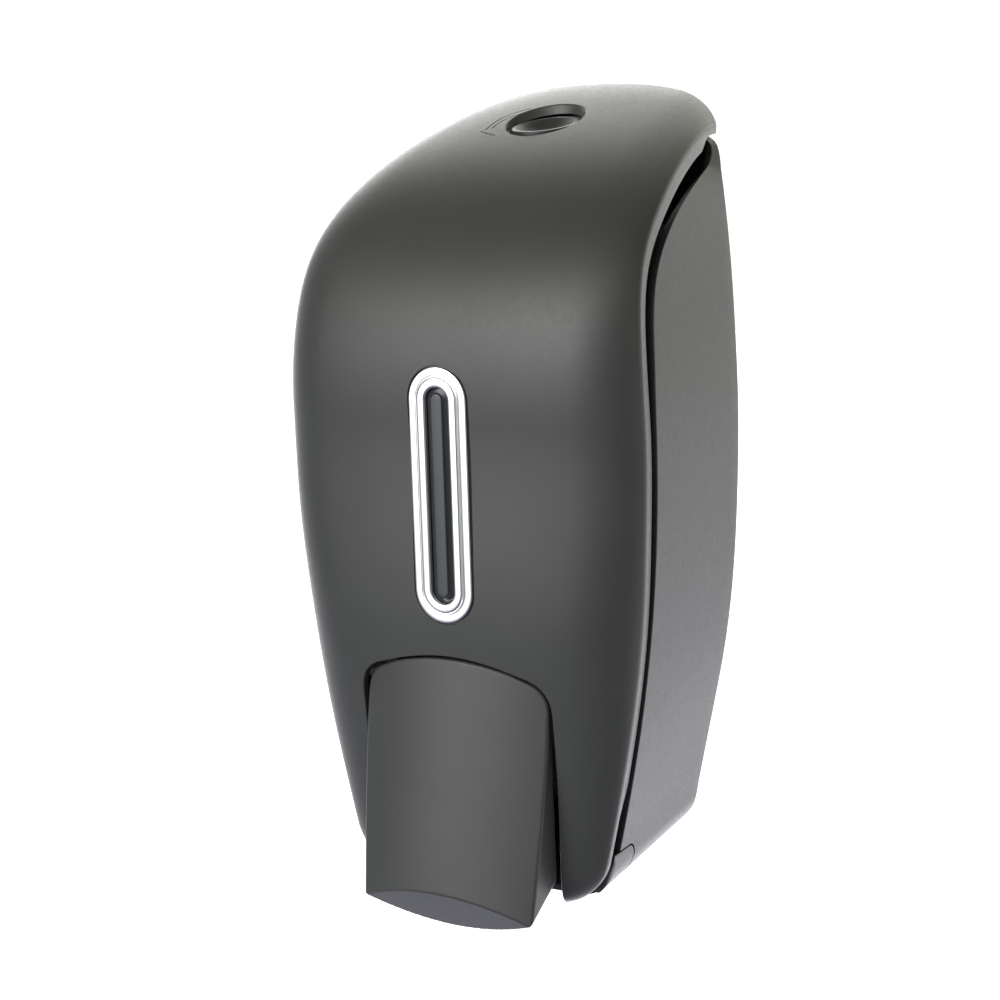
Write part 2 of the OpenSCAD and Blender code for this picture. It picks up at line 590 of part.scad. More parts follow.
// ============================ lock ==========================================
module lock_plug() {
    color("#3f4142") placed() on_lock() difference() {
        union() { translate([0, 0, -4.7]) cylinder(r = plug_r, h = 4.7); translate([0, 0, -11]) cylinder(r = 6, h = 7); }
        translate([0, 0, 13.2]) sphere(r = 16.2, $fn = 96);
        translate([-3.2, -7.6, -4.2]) cube([6.4, 4.2, 4]);
        translate([0, 0, -14]) cylinder(r = 1.4, h = 9);
        for (a = [0, 180]) rotate([0, 0, a]) translate([4.4, -8, -12]) cube([4, 16, 3.9]);
    }
}
module lock_cam() {
    color("silver") placed() on_lock() difference() {
        union() {
            translate([0, 0, -10.6]) cylinder(r = 8, h = 2.4);
            translate([-4, 0, -10.6]) cube([8, 19, 2.4]);
        }
        intersection() {
            translate([0, 0, -12]) cylinder(r = 6.1, h = 6);
            translate([-4.5, -8, -12]) cube([9, 16, 6]);
        }
    }
}
module cam_screw() {
    color("silver") placed() on_lock() { translate([0, 0, -13]) cylinder(r = 5.4, h = 1.95); translate([0, 0, -12]) cylinder(r = 1.35, h = 6.5); }
}

rear_housing();
hinge_pins();
tank_shelf();
shelf_screws();
latch_catch();
catch_screws();
tank();
neck_gasket();
pump_nut();
pump_body();
pump_gland();
inlet_valve();
outlet_valve();
nozzle();
return_spring();
filler_cap();
cap_seal();
pump_plunger();
plunger_seal();
plunger_button();
front_cover();
hinge_arms();
window_bezel();
window_lens();
lens_gasket();
bezel_retainer();
push_bar_bracket();
bracket_screws();
push_bar_pin();
lock_cup();
push_bar();
pusher_pad();
lock_plug();
lock_cam();
cam_screw();
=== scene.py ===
"""Looks of the wall mounted soap dispenser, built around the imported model.

Lengths in the geometry below are millimetres with heights counted from the
lowest point of the push bar; metres() moves them to the row frame.
"""
import json
import math

import bmesh
import bpy
import numpy as np
from mathutils import Matrix, Vector
from mathutils.bvhtree import BVHTree
from mathutils.kdtree import KDTree


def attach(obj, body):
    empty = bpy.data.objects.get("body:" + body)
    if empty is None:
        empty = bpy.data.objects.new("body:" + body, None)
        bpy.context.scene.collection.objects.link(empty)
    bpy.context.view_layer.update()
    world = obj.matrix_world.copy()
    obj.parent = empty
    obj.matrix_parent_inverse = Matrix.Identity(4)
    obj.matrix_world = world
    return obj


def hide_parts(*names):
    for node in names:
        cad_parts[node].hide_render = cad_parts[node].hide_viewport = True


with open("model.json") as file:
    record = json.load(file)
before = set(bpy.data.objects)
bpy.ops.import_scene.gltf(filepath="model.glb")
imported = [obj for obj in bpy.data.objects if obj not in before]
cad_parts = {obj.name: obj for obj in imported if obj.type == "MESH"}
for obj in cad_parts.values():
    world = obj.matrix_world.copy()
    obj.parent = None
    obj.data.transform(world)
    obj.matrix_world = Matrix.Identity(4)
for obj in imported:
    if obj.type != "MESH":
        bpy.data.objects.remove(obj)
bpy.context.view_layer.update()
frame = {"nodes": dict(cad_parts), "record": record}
NODES = frame["nodes"]
MZ = 125.0
scene = bpy.context.scene


def metres(p):
    p = np.asarray(p, float).reshape(-1, 3)
    return (p - [0.0, 0.0, MZ]) / 1000.0


# ---------------------------------------------------------------------------
# camera
# ---------------------------------------------------------------------------
A, P, F, D, TX, TY = math.radians(30.66), math.radians(7.96), 2000.0, 608.0, 518.6, 494.0
fw = np.array([-math.sin(A) * math.cos(P), math.cos(A) * math.cos(P), -math.sin(P)])
rt = np.array([math.cos(A), math.sin(A), 0.0])
up = np.cross(rt, fw)
eye = np.array([0.0, -50.0, 125.0]) - fw * D - rt * ((TX - 500) / F * D) + up * ((TY - 500) / F * D)
cam_data = bpy.data.cameras.new("view")
cam_data.sensor_width = 36.0
cam_data.lens = 72.0
cam_data.clip_start, cam_data.clip_end = 0.01, 50.0
camera = bpy.data.objects.new("view", cam_data)
scene.collection.objects.link(camera)
camera.matrix_world = Matrix(
    [
        [rt[0], up[0], -fw[0], metres(eye)[0][0]],
        [rt[1], up[1], -fw[1], metres(eye)[0][1]],
        [rt[2], up[2], -fw[2], metres(eye)[0][2]],
        [0, 0, 0, 1],
    ]
)
scene.camera = camera


# ---------------------------------------------------------------------------
# small tools
# ---------------------------------------------------------------------------
def spline(xk, yk):
    """Natural cubic through the points, smooth to the second derivative."""
    xk, yk = np.asarray(xk, float), np.asarray(yk, float)
    n, h = len(xk), np.diff(xk)
    a, b = np.zeros((n, n)), np.zeros(n)
    a[0, 0] = a[-1, -1] = 1
    for i in range(1, n - 1):
        a[i, i - 1], a[i, i], a[i, i + 1] = h[i - 1], 2 * (h[i - 1] + h[i]), h[i]
        b[i] = 6 * ((yk[i + 1] - yk[i]) / h[i] - (yk[i] - yk[i - 1]) / h[i - 1])
    m = np.linalg.solve(a, b)

    def f(x):
        x = np.asarray(x, float)
        i = np.clip(np.searchsorted(xk, x, side="right") - 1, 0, n - 2)
        u, v = (xk[i + 1] - x) / h[i], (x - xk[i]) / h[i]
        return u * yk[i] + v * yk[i + 1] + ((u**3 - u) * m[i] + (v**3 - v) * m[i + 1]) * h[i] ** 2 / 6

    return f


def mesh_object(name, verts_mm, faces, smooth=True):
    me = bpy.data.meshes.new(name)
    me.from_pydata([tuple(v) for v in metres(verts_mm)], [], [tuple(int(i) for i in f) for f in faces])
    me.validate(clean_customdata=False)
    me.update()
    ob = bpy.data.objects.new(name, me)
    scene.collection.objects.link(ob)
    if smooth:
        me.shade_smooth()
    return ob


def outward(ob):
    bm = bmesh.new()
    bm.from_mesh(ob.data)
    bmesh.ops.recalc_face_normals(bm, faces=bm.faces)
    bm.to_mesh(ob.data)
    bm.free()


def loft_faces(n, m, closed=True, flip=False):
    """Quads between n loops of m points each."""
    out = []
    for k in range(n - 1):
        for i in range(m if closed else m - 1):
            a, b = k * m + i, k * m + (i + 1) % m
            q = (a, b, b + m, a + m)
            out.append(q[::-1] if flip else q)
    return out


def loft_object(name, loops, caps=True):
    loops = [np.asarray(l, float) for l in loops]
    n, m = len(loops), len(loops[0])
    faces = loft_faces(n, m)
    if caps:
        faces += [tuple(range(m))[::-1], tuple(range((n - 1) * m, n * m))]
    ob = mesh_object(name, np.vstack(loops), faces)
    outward(ob)
    return ob


def boolean(ob, cutter, operation="DIFFERENCE", keep_cutter=False):
    mod = ob.modifiers.new("cut", "BOOLEAN")
    mod.operation, mod.object, mod.solver = operation, cutter, "EXACT"
    dg = bpy.context.evaluated_depsgraph_get()
    me = bpy.data.meshes.new_from_object(ob.evaluated_get(dg))
    ob.modifiers.clear()
    old = ob.data
    ob.data = me
    bpy.data.meshes.remove(old)
    if not keep_cutter:
        bpy.data.objects.remove(cutter)
    return ob


def tidy(ob, dist=2e-6):
    bm = bmesh.new()
    bm.from_mesh(ob.data)
    bmesh.ops.remove_doubles(bm, verts=bm.verts, dist=dist)
    bmesh.ops.dissolve_degenerate(bm, edges=bm.edges, dist=dist)
    bm.to_mesh(ob.data)
    bm.free()


def set_normals(ob, ref=None, angle=34.0, reach=4e-5, agree=22.0):
    """Smooth shading split at sharp edges. Where a corner lies on the reference surface ref = (points mm, triangles, normals), it takes that surface's own normal."""
    me = ob.data
    me.shade_smooth()
    me.set_sharp_from_angle(angle=math.radians(angle))
    me.update()
    n = len(me.loops)
    cn = np.zeros(n * 3, np.float32)
    me.corner_normals.foreach_get("vector", cn)
    cn = cn.reshape(-1, 3).copy()
    if ref is not None:
        pts, tris, nor = metres(ref[0]), np.asarray(ref[1], int), np.asarray(ref[2], float)
        tree = BVHTree.FromPolygons([Vector(p) for p in pts], [tuple(int(i) for i in t) for t in tris])
        found = [None] * len(me.vertices)
        for v in me.vertices:
            loc, _, idx, dist = tree.find_nearest(v.co)
            if loc is None or dist > reach:
                continue
            a, b, c = (pts[i] for i in tris[idx])
            p = np.array(loc)
            v0, v1, v2 = b - a, c - a, p - a
            d00, d01, d11, d20, d21 = v0 @ v0, v0 @ v1, v1 @ v1, v2 @ v0, v2 @ v1
            den = d00 * d11 - d01 * d01
            if abs(den) < 1e-24:
                continue
            bv, cv = (d11 * d20 - d01 * d21) / den, (d00 * d21 - d01 * d20) / den
            q = nor[tris[idx][0]] * (1 - bv - cv) + nor[tris[idx][1]] * bv + nor[tris[idx][2]] * cv
            found[v.index] = q / max(np.linalg.norm(q), 1e-12)
        lim = math.cos(math.radians(agree))
        for p in me.polygons:
            fnorm = np.array(p.normal)
            for li in p.loop_indices:
                q = found[me.loops[li].vertex_index]
                if q is not None and q @ fnorm > lim:
                    cn[li] = q
    me.normals_split_custom_set([tuple(float(x) for x in v) for v in cn])
    me.update()


def grid_ref(points):
    """Reference surface from an n x m grid of points: triangles and normals by central differences."""
    g = np.asarray(points, float)
    n, m, _ = g.shape
    du, dv = np.gradient(g, axis=0), np.gradient(g, axis=1)
    nor = np.cross(du, dv)
    nor /= np.maximum(np.linalg.norm(nor, axis=2, keepdims=True), 1e-12)
    tris = []
    for i in range(n - 1):
        for j in range(m - 1):
            a, b, c, d = i * m + j, i * m + j + 1, (i + 1) * m + j + 1, (i + 1) * m + j
            tris += [(a, b, c), (a, c, d)]
    return [g.reshape(-1, 3), tris, nor.reshape(-1, 3)]


def stand_in(ob, body, slot, *nodes):
    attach(ob, body)
    if nodes:
        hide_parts(*nodes)
    return ob


# ---------------------------------------------------------------------------
# materials
# ---------------------------------------------------------------------------
def shader(name):
    m = bpy.data.materials.new(name)
    m.use_nodes = True
    nt = m.node_tree
    b = nt.nodes["Principled BSDF"]
    c = nt.nodes.new("ShaderNodeTexCoord")
    return m, nt, b, c.outputs["Object"]


def noise(nt, vec, scale, detail=2.0, rough=0.5):
    n = nt.nodes.new("ShaderNodeTexNoise")
    n.inputs["Scale"].default_value = scale
    n.inputs["Detail"].default_value = detail
    n.inputs["Roughness"].default_value = rough
    nt.links.new(vec, n.inputs["Vector"])
    return n.outputs["Fac"]


def ramp(nt, fac, lo, hi, a=0.3, b=0.7):
    r = nt.nodes.new("ShaderNodeMapRange")
    r.inputs["From Min"].default_value, r.inputs["From Max"].default_value = a, b
    r.inputs["To Min"].default_value, r.inputs["To Max"].default_value = lo, hi
    nt.links.new(fac, r.inputs["Value"])
    return r.outputs["Result"]


def mix_colour(nt, fac, c1, c2):
    m = nt.nodes.new("ShaderNodeMix")
    m.data_type = "RGBA"
    nt.links.new(fac, m.inputs["Factor"])
    m.inputs["A"].default_value = (*c1, 1)
    m.inputs["B"].default_value = (*c2, 1)
    return m.outputs["Result"]


def bump(nt, b, height, strength, distance):
    n = nt.nodes.new("ShaderNodeBump")
    n.inputs["Strength"].default_value = strength
    n.inputs["Distance"].default_value = distance
    nt.links.new(height, n.inputs["Height"])
    nt.links.new(n.outputs["Normal"], b.inputs["Normal"])


def abs_plastic(name, colour, rough=(0.4, 0.5), grain=1900.0, depth=0.00003, strength=0.5, level=0.5, vary=0.05):
    """Spark-eroded satin plastic: a fine grain in the surface, and a faint drift of tone and gloss."""
    m, nt, b, vec = shader(name)
    c = np.array(colour)
    tone = noise(nt, vec, 45.0, 3.0)
    nt.links.new(mix_colour(nt, ramp(nt, tone, 0, 1), tuple(c * (1 - vary)), tuple(c * (1 + vary))), b.inputs["Base Color"])
    fine = noise(nt, vec, grain, 2.0, 0.6)
    nt.links.new(ramp(nt, noise(nt, vec, 700.0, 2.0), rough[0], rough[1]), b.inputs["Roughness"])
    b.inputs["Specular IOR Level"].default_value = level
    bump(nt, b, fine, strength, depth)
    return m


def gloss_plastic(name, colour, rough=(0.12, 0.2), level=0.5, alpha=None, sss=0.0):
    m, nt, b, vec = shader(name)
    c = np.array(colour)
    nt.links.new(mix_colour(nt, ramp(nt, noise(nt, vec, 60.0, 3.0), 0, 1), tuple(c * 0.95), tuple(np.minimum(c * 1.04, 1))), b.inputs["Base Color"])
    nt.links.new(ramp(nt, noise(nt, vec, 350.0, 3.0), rough[0], rough[1]), b.inputs["Roughness"])
    b.inputs["Specular IOR Level"].default_value = level
    bump(nt, b, noise(nt, vec, 420.0, 2.0), 0.12, 0.00003)
    if sss:
        b.inputs["Subsurface Weight"].default_value = sss
        b.inputs["Subsurface Radius"].default_value = (0.004, 0.004, 0.004)
    if alpha is not None:
        b.inputs["Alpha"].default_value = alpha
    return m


def rubber(name, colour, rough=(0.6, 0.75)):
    m, nt, b, vec = shader(name)
    c = np.array(colour)
    nt.links.new(mix_colour(nt, ramp(nt, noise(nt, vec, 120.0, 3.0), 0, 1), tuple(c * 0.85), tuple(c * 1.15)), b.inputs["Base Color"])
    nt.links.new(ramp(nt, noise(nt, vec, 900.0, 2.0), rough[0], rough[1]), b.inputs["Roughness"])
    b.inputs["Specular IOR Level"].default_value = 0.35
    bump(nt, b, noise(nt, vec, 1600.0, 2.0), 0.3, 0.00003)
    return m


def metal(name, colour, rough=(0.2, 0.35), streak=None, strength=0.2):
    m, nt, b, vec = shader(name)
    c = np.array(colour)
    v = vec
    if streak:
        mp = nt.nodes.new("ShaderNodeMapping")
        mp.inputs["Scale"].default_value = streak
        nt.links.new(vec, mp.inputs["Vector"])
        v = mp.outputs["Vector"]
    nt.links.new(mix_colour(nt, ramp(nt, noise(nt, vec, 90.0, 3.0), 0, 1), tuple(c * 0.93), tuple(np.minimum(c * 1.05, 1))), b.inputs["Base Color"])
    nt.links.new(ramp(nt, noise(nt, v, 500.0, 3.0), rough[0], rough[1]), b.inputs["Roughness"])
    b.inputs["Metallic"].default_value = 1.0
    bump(nt, b, noise(nt, v, 800.0, 2.0), strength, 0.00001)
    return m


MAT = {
    "cover_abs": abs_plastic("cover_abs", (0.0570, 0.0575, 0.0566), rough=(0.33, 0.40)),
    "bar_abs": abs_plastic("bar_abs", (0.0565, 0.0570, 0.0570), rough=(0.36, 0.43)),
    "housing_abs": abs_plastic("housing_abs", (0.0535, 0.0537, 0.0550), rough=(0.37, 0.44)),
    "inner_abs": abs_plastic("inner_abs", (0.013, 0.0132, 0.0135), rough=(0.5, 0.62), grain=1800.0),
    # lock plug plastic: its dark grey is partly the plug's own colour and partly painted shade of the recess it sits
    # in
    "lock_abs": abs_plastic("lock_abs", (0.034, 0.035, 0.035), rough=(0.30, 0.38)),
    # painted highlight: a lighter, glossier copy of the cover plastic, standing in for the highlight line along the
    # cover's side crease
    "crease_highlight_abs": abs_plastic("crease_highlight_abs", (0.090, 0.092, 0.091), rough=(0.30, 0.36)),
    "chrome_trim": metal("chrome_trim", (0.93, 0.93, 0.94), rough=(0.03, 0.07), strength=0.04),
    "smoke_lens": gloss_plastic("smoke_lens", (0.034, 0.035, 0.040), rough=(0.05, 0.10), level=0.6),
    "black_rubber": rubber("black_rubber", (0.018, 0.018, 0.018)),
    "white_pp": gloss_plastic("white_pp", (0.72, 0.73, 0.71), rough=(0.28, 0.4), sss=0.15),
    "grey_pom": gloss_plastic("grey_pom", (0.42, 0.43, 0.43), rough=(0.25, 0.35)),
    "tank_translucent": gloss_plastic("tank_translucent", (0.74, 0.77, 0.74), rough=(0.3, 0.42), alpha=0.72, sss=0.3),
    "amber_silicone": rubber("amber_silicone", (0.55, 0.33, 0.10), rough=(0.35, 0.5)),
    "spring_steel": metal("spring_steel", (0.55, 0.55, 0.56), rough=(0.18, 0.3)),
    "zinc_steel": metal("zinc_steel", (0.50, 0.51, 0.52), rough=(0.25, 0.42), strength=0.3),
}
slots = {s["node"]: s["material_slot"] for s in frame["record"]["subparts"]}


def paint(ob, key):
    ob.data.materials.clear()
    ob.data.materials.append(MAT[key])


# CAD pieces that keep their own shape: welded, their edges broken by a small radius
for name, ob in NODES.items():
    paint(ob, slots[name])
    ob.data.polygons.foreach_set("material_index", [0] * len(ob.data.polygons))
    if name in ("front_cover", "rear_housing", "hinge_arms", "push_bar", "window_bezel", "window_lens", "lock_plug"):
        continue
    w = ob.modifiers.new("weld", "WELD")
    w.merge_threshold = 1e-6
    bv = ob.modifiers.new("edge", "BEVEL")
    bv.width, bv.segments, bv.limit_method, bv.angle_limit = 0.00015, 2, "ANGLE", math.radians(40)
    bv.harden_normals = True

# ---------------------------------------------------------------------------
# stage and light
# ---------------------------------------------------------------------------
scene.view_settings.view_transform = "Standard"
world = bpy.data.worlds.new("studio")
scene.world = world
world.use_nodes = True
wn = world.node_tree
bg = wn.nodes["Background"]
bg.inputs["Color"].default_value = (1, 1, 1, 1)
tc = wn.nodes.new("ShaderNodeTexCoord")
# (direction, tightness, strength) of each soft lobe of the studio's light
LOBES = [
    ((-0.564, 0.802, 0.194), 8, (3.702, 3.704, 3.665)),
    ((-0.441, -0.765, 0.469), 28, (2.567, 2.570, 2.546)),
    ((-0.171, -0.970, 0.174), 28, (2.383, 2.387, 2.369)),
    ((-0.153, -0.870, 0.469), 28, (2.372, 2.372, 2.349)),
    ((-0.492, -0.853, 0.174), 28, (1.943, 1.957, 1.943)),
    ((0.100, 0.584, -0.806), 8, (1.775, 1.771, 1.908)),
    ((-0.328, 0.784, -0.528), 8, (1.605, 1.601, 1.718)),
    ((-0.495, -0.858, -0.139), 28, (1.642, 1.662, 1.678)),
    ((-0.696, 0.183, -0.694), 8, (0.829, 0.832, 0.928)),
    ((0.464, 0.809, -0.361), 8, (0.783, 0.777, 0.870)),
    ((0.153, -0.870, 0.469), 28, (0.843, 0.847, 0.831)),
    ((0.681, 0.358, -0.639), 8, (0.781, 0.783, 0.843)),
    ((-0.795, 0.553, -0.250), 8, (0.792, 0.795, 0.829)),
    ((-0.200, 0.743, 0.639), 8, (0.798, 0.803, 0.732)),
    ((-0.127, -0.982, 0.139), 8, (0.660, 0.692, 0.679)),
    ((0.946, -0.208, 0.250), 8, (0.357, 0.366, 0.324)),
    ((0.972, 0.131, -0.194), 8, (0.331, 0.336, 0.326)),
    ((0.441, -0.765, 0.469), 28, (0.287, 0.294, 0.281)),
    ((-0.159, 0.172, -0.972), 8, (0.239, 0.240, 0.292)),
    ((-0.046, 0.995, -0.083), 8, (0.243, 0.245, 0.203)),
    ((-0.347, -0.602, 0.719), 28, (0.187, 0.196, 0.146)),
    ((0.279, 0.890, 0.361), 8, (0.181, 0.190, 0.056)),
    ((-0.402, -0.311, -0.861), 8, (0.000, 0.000, 0.145)),
    ((-0.374, -0.721, 0.583), 8, (0.079, 0.129, 0.017)),
    ((0.398, -0.033, -0.917), 8, (0.047, 0.050, 0.126)),
    ((0.798, 0.291, 0.528), 8, (0.077, 0.083, 0.035)),
    ((-0.121, -0.684, 0.719), 28, (0.079, 0.082, 0.044)),
]


def world_math(op, *args):
    n = wn.nodes.new("ShaderNodeMath")
    n.operation = op
    for i, a in enumerate(args):
        if isinstance(a, (int, float)):
            n.inputs[i].default_value = a
        else:
            wn.links.new(a, n.inputs[i])
    return n.outputs[0]


total = None
for d, k, v in LOBES:
    dot = wn.nodes.new("ShaderNodeVectorMath")
    dot.operation = "DOT_PRODUCT"
    wn.links.new(tc.outputs["Generated"], dot.inputs[0])
    dot.inputs[1].default_value = d
    term = world_math("EXPONENT", world_math("MULTIPLY", world_math("SUBTRACT", dot.outputs["Value"], 1.0), float(k)))
    add = wn.nodes.new("ShaderNodeVectorMath")
    add.operation = "MULTIPLY_ADD"
    wn.links.new(term, add.inputs[0])
    add.inputs[1].default_value = v
    if total is None:
        add.inputs[2].default_value = (0, 0, 0)
    else:
        wn.links.new(total, add.inputs[2])
    total = add.outputs[0]
path = wn.nodes.new("ShaderNodeLightPath")
mixw = wn.nodes.new("ShaderNodeMix")
mixw.data_type = "RGBA"
wn.links.new(path.outputs["Is Camera Ray"], mixw.inputs["Factor"])
wn.links.new(total, mixw.inputs["A"])
mixw.inputs["B"].default_value = (1.2, 1.2, 1.2, 1)
wn.links.new(mixw.outputs["Result"], bg.inputs["Color"])

floor = mesh_object("floor", [[-6000, -6000, -180], [6000, -6000, -180], [6000, 6000, -180], [-6000, 6000, -180]], [(0, 1, 2, 3)])
fm, fnt, fb, fvec = shader("floor_white")
fb.inputs["Base Color"].default_value = (0.85, 0.85, 0.85, 1)
fb.inputs["Roughness"].default_value = 0.9
fb.inputs["Emission Color"].default_value = (1, 1, 1, 1)
fb.inputs["Emission Strength"].default_value = 1.0
floor.data.materials.append(fm)
floor.visible_diffuse = floor.visible_glossy = floor.visible_transmission = False

# ---------------------------------------------------------------------------
# shape of the cover, as in the design
# ---------------------------------------------------------------------------
SECT = [8, 35, 65, 95, 122, 150]
STEP = 95 * math.radians(15)
TK = np.array(SECT + [150 + STEP * k for k in range(1, 7)], float)
TAU_END = TK[-1]
f_front = spline(TK, [78.9, 82.8, 87.4, 91.6, 93, 94.8, 98.5, 98.7, 96.3, 94, 95, 100])
f_crease = spline(TK, [72.6, 74.5, 76.4, 78.4, 81.2, 83.1, 86.8, 90.9, 88.7, 86.1, 85.6, 86.5])
f_width = spline(TK, [40.5, 46.7, 52.6, 56.6, 58.6, 59, 57.9, 55.7, 53.2, 49.9, 46, 41.3])
f_rim = spline(TK, [8.8, 8.8, 8.3, 8.2, 9.2, 9.2, 11, 11.3, 10.8, 11.6, 11.9, 10.5])
COVER_T = 2.6


def t_of(tau):
    return np.interp(tau, TK, np.arange(12.0))


def phi(tau):
    return np.maximum(np.asarray(tau, float) - 150.0, 0) / 95.0


def level(tau):
    return np.minimum(tau, 150.0)


def corner(z):
    z = np.asarray(z, float)
    return np.where(z < 22, 14 * (1 - np.sqrt(np.maximum(0, 1 - ((22 - z) / 14) ** 2))), 0.0)


def width(tau):
    return f_width(tau) - corner(level(tau))


def exponent(tau):
    return np.interp(t_of(tau), [0, 1, 3, 5, 11], [2.25, 2.25, 2.6, 2.65, 2.42])


def taper(tau):
    return np.interp(t_of(tau), [0, 5, 11], [0.1, 0.1, 0.045])


def band(tau):
    return np.interp(t_of(tau), [0, 5, 11], [3.2, 3.2, 2.8])


def tongue(tau):
    t = t_of(tau)
    return 0.1 + 3.3 * np.clip((t - 0.85) * 2, 0, 1) * np.clip((10.55 - t) * 3, 0, 1)


def arc_d(tau, s, k=0.0):
    e, r, n, s = f_crease(tau), f_front(tau) - k, exponent(tau), np.abs(s)
    # the skin meets the crease at an angle, so that the edge stays crisp
    h = np.clip((s - 0.7) / 0.3, 0, 1) ** 2
    return e + (r - e) * (np.maximum(0, 1 - (0.993 * s) ** n) ** (1 / n) - h * (1 - 0.993**n) ** (1 / n))


def placed(tau, x, d):
    tau, x, d = np.broadcast_arrays(np.asarray(tau, float), x, d)
    return np.stack([x, -d * np.cos(phi(tau)) - 0.4, level(tau) + d * np.sin(phi(tau))], -1)


def skin(tau, s, k=0.0):
    return placed(tau, width(tau) * s, arc_d(tau, s, k))


def front_y(x, z):
    """Y of the cover's outer skin at a point of its front, for heights up to 150."""
    z = np.clip(z, 8, 150)
    return -arc_d(z, np.clip(x / width(z), -1, 1)) - 0.4


def cover_loop(tau, m_out=44, m_in=24):
    w, e, b, g, s = width(tau), f_crease(tau), band(tau), tongue(tau), taper(tau)
    xb = w - s * b
    xt = xb - 0.45
    xg = xt - s * g
    xi = w - COVER_T - 0.1
    q = np.sin(np.radians(90 * np.arange(-m_out, m_out + 1) / m_out))
    outer = np.stack([w * q, arc_d(tau, q)], 1)
    outer[0] += [0.2, 0.1]
    outer[-1] += [-0.2, 0.1]
    side = np.array([
        [w - 0.03, e - 0.22], [w - s * b * 0.5, e - b * 0.5], [xb, e - b + 0.35], [xb - 0.07, e - b + 0.08], [xb - 0.2, e - b],
        [xt, e - b - 0.01], [xg, e - b - g + min(0.25, g * 0.5)], [xg - 0.08, e - b - g + min(0.07, g * 0.2)],
        [xg - 0.3, e - b - g - 0.005], [xg - 1.4, e - b - g - 0.01]])
    qi = np.sin(np.radians(90 * np.arange(m_in, -m_in - 1, -1) / m_in))
    inner = np.stack([xi * qi, arc_d(tau, qi, COVER_T)], 1)
    inner[0, 1] -= 1.2
    inner[-1, 1] -= 1.2
    left = side[::-1] * [-1, 1]
    pts = np.vstack([outer, side, inner, left])
    return placed(tau, pts[:, 0], pts[:, 1])


taus = np.unique(np.concatenate([np.linspace(8, 22, 15), np.linspace(22, TAU_END, 126)]))
cover = loft_object("front_cover_shell", [cover_loop(t) for t in taus])
qq = np.sin(np.radians(np.linspace(-90, 90, 121)))
ref_t = np.linspace(8, TAU_END, 200)
cover_ref = grid_ref(np.array([skin(np.full(len(qq), t), qq) for t in ref_t]))
if cover_ref[2][100 * 121 + 60][1] > 0:
    cover_ref[2] = -cover_ref[2]


# ---- cutters for the cover ---------------------------------------------------
def closed_rings(name, rings):
    return loft_object(name, rings)


BAR_HALF, BAR_TOP, BAR_GAP = 31.0, 81.4, 1.3


def bar_x(z):
    return BAR_HALF - 1.95 + 1.95 * np.sin(np.radians(90 * np.clip((z - 6) / 55, 0, 1)))


def bar_outline(g, z0, step=1.0, sigma=1.6):
    """Outline of the bar grown by g, closed, counter-clockwise in X and Z, evenly spaced and smoothed."""
    h = BAR_HALF + g
    right = [[bar_x(z) + g, z] for z in np.arange(z0, 66.1, 2.0)]
    right += [[h - 9 + 9 * math.cos(math.radians(a)), 68 + g * 0.5 + 9 * math.sin(math.radians(a)) * (1 + 0.02 * g)] for a in range(6, 84, 6)]
    right += [[x, BAR_TOP + g * 0.5 - 3.6 * (x / 22) ** 2] for x in (20, 17, 14, 11, 8, 5, 2.5, 0)]
    right = np.array(right)
    line = np.vstack([right, right[-2::-1] * [-1, 1]])
    seg = np.r_[0, np.cumsum(np.hypot(*np.diff(line, axis=0).T))]
    u = np.linspace(0, seg[-1], int(seg[-1] / step) | 1)
    pts = np.stack([np.interp(u, seg, line[:, 0]), np.interp(u, seg, line[:, 1])], 1)
    k = np.arange(-6, 7)
    w = np.exp(-0.5 * (k * step / sigma) ** 2)
    w /= w.sum()
    pad = np.vstack([2 * pts[0] - pts[6:0:-1], pts, 2 * pts[-1] - pts[-2:-8:-1]])
    out = sum(w[i] * pad[i:i + len(pts)] for i in range(13))
    return out


def normals_2d(p, closed=False):
    t = np.roll(p, -1, 0) - np.roll(p, 1, 0) if closed else np.gradient(p, axis=0)
    n = np.stack([t[:, 1], -t[:, 0]], 1)
    return n / np.linalg.norm(n, axis=1, keepdims=True)


FILLET = [(25, 0), (45, 0), (65, 0), (90, 0)]


def fillet_profile(r):
    """(offset outwards, depth) from above the surface down to the wall."""
    out = [(r * (1 - math.sin(math.radians(25))) + 0.906, r * (1 - math.cos(math.radians(25))) - 0.423)]
    out += [(r * (1 - math.sin(math.radians(a))), r * (1 - math.cos(math.radians(a)))) for a in (25, 45, 65, 90)]
    return out


def bar_opening():
    line = bar_outline(BAR_GAP, -8.0)
    nrm = normals_2d(line)
    rings = []
    prof = fillet_profile(0.45)
    p = line + nrm * prof[0][0]
    rings.append(np.stack([p[:, 0], np.full(len(p), -115.0), p[:, 1]], 1))
    for o, dep in prof:
        p = line + nrm * o
        rings.append(np.stack([p[:, 0], front_y(p[:, 0], p[:, 1]) + dep, p[:, 1]], 1))
    rings.append(np.stack([line[:, 0], np.full(len(line), -55.0), line[:, 1]], 1))
    return closed_rings("cut_bar", rings)


def stadium(r, half, n=24):
    a = np.radians(np.linspace(0, 180, n + 1))
    top = np.stack([r * np.cos(a), half + r * np.sin(a)], 1)
    return np.vstack([top, -top])


W_HALF = 27.6
W_ROT = Matrix.Rotation(math.radians(3.47), 3, "X")


def window_point(p):
    """From the window frame (X, Y into the cover, Z up) to the bottom-based frame."""
    q = np.asarray(p, float).reshape(-1, 3)
    return q @ np.array(W_ROT).T + [0, -94, 129.5]


def window_ring(r, y, n=24):
    s = stadium(r, W_HALF, n)
    return window_point(np.stack([s[:, 0], np.full(len(s), y), s[:, 1]], 1))


L_ROT = np.array(Matrix.Rotation(math.radians(15), 3, "X"))
L_POS = np.array([0, -34, 235.2])


def lock_point(p):
    return np.asarray(p, float).reshape(-1, 3) @ L_ROT.T + L_POS


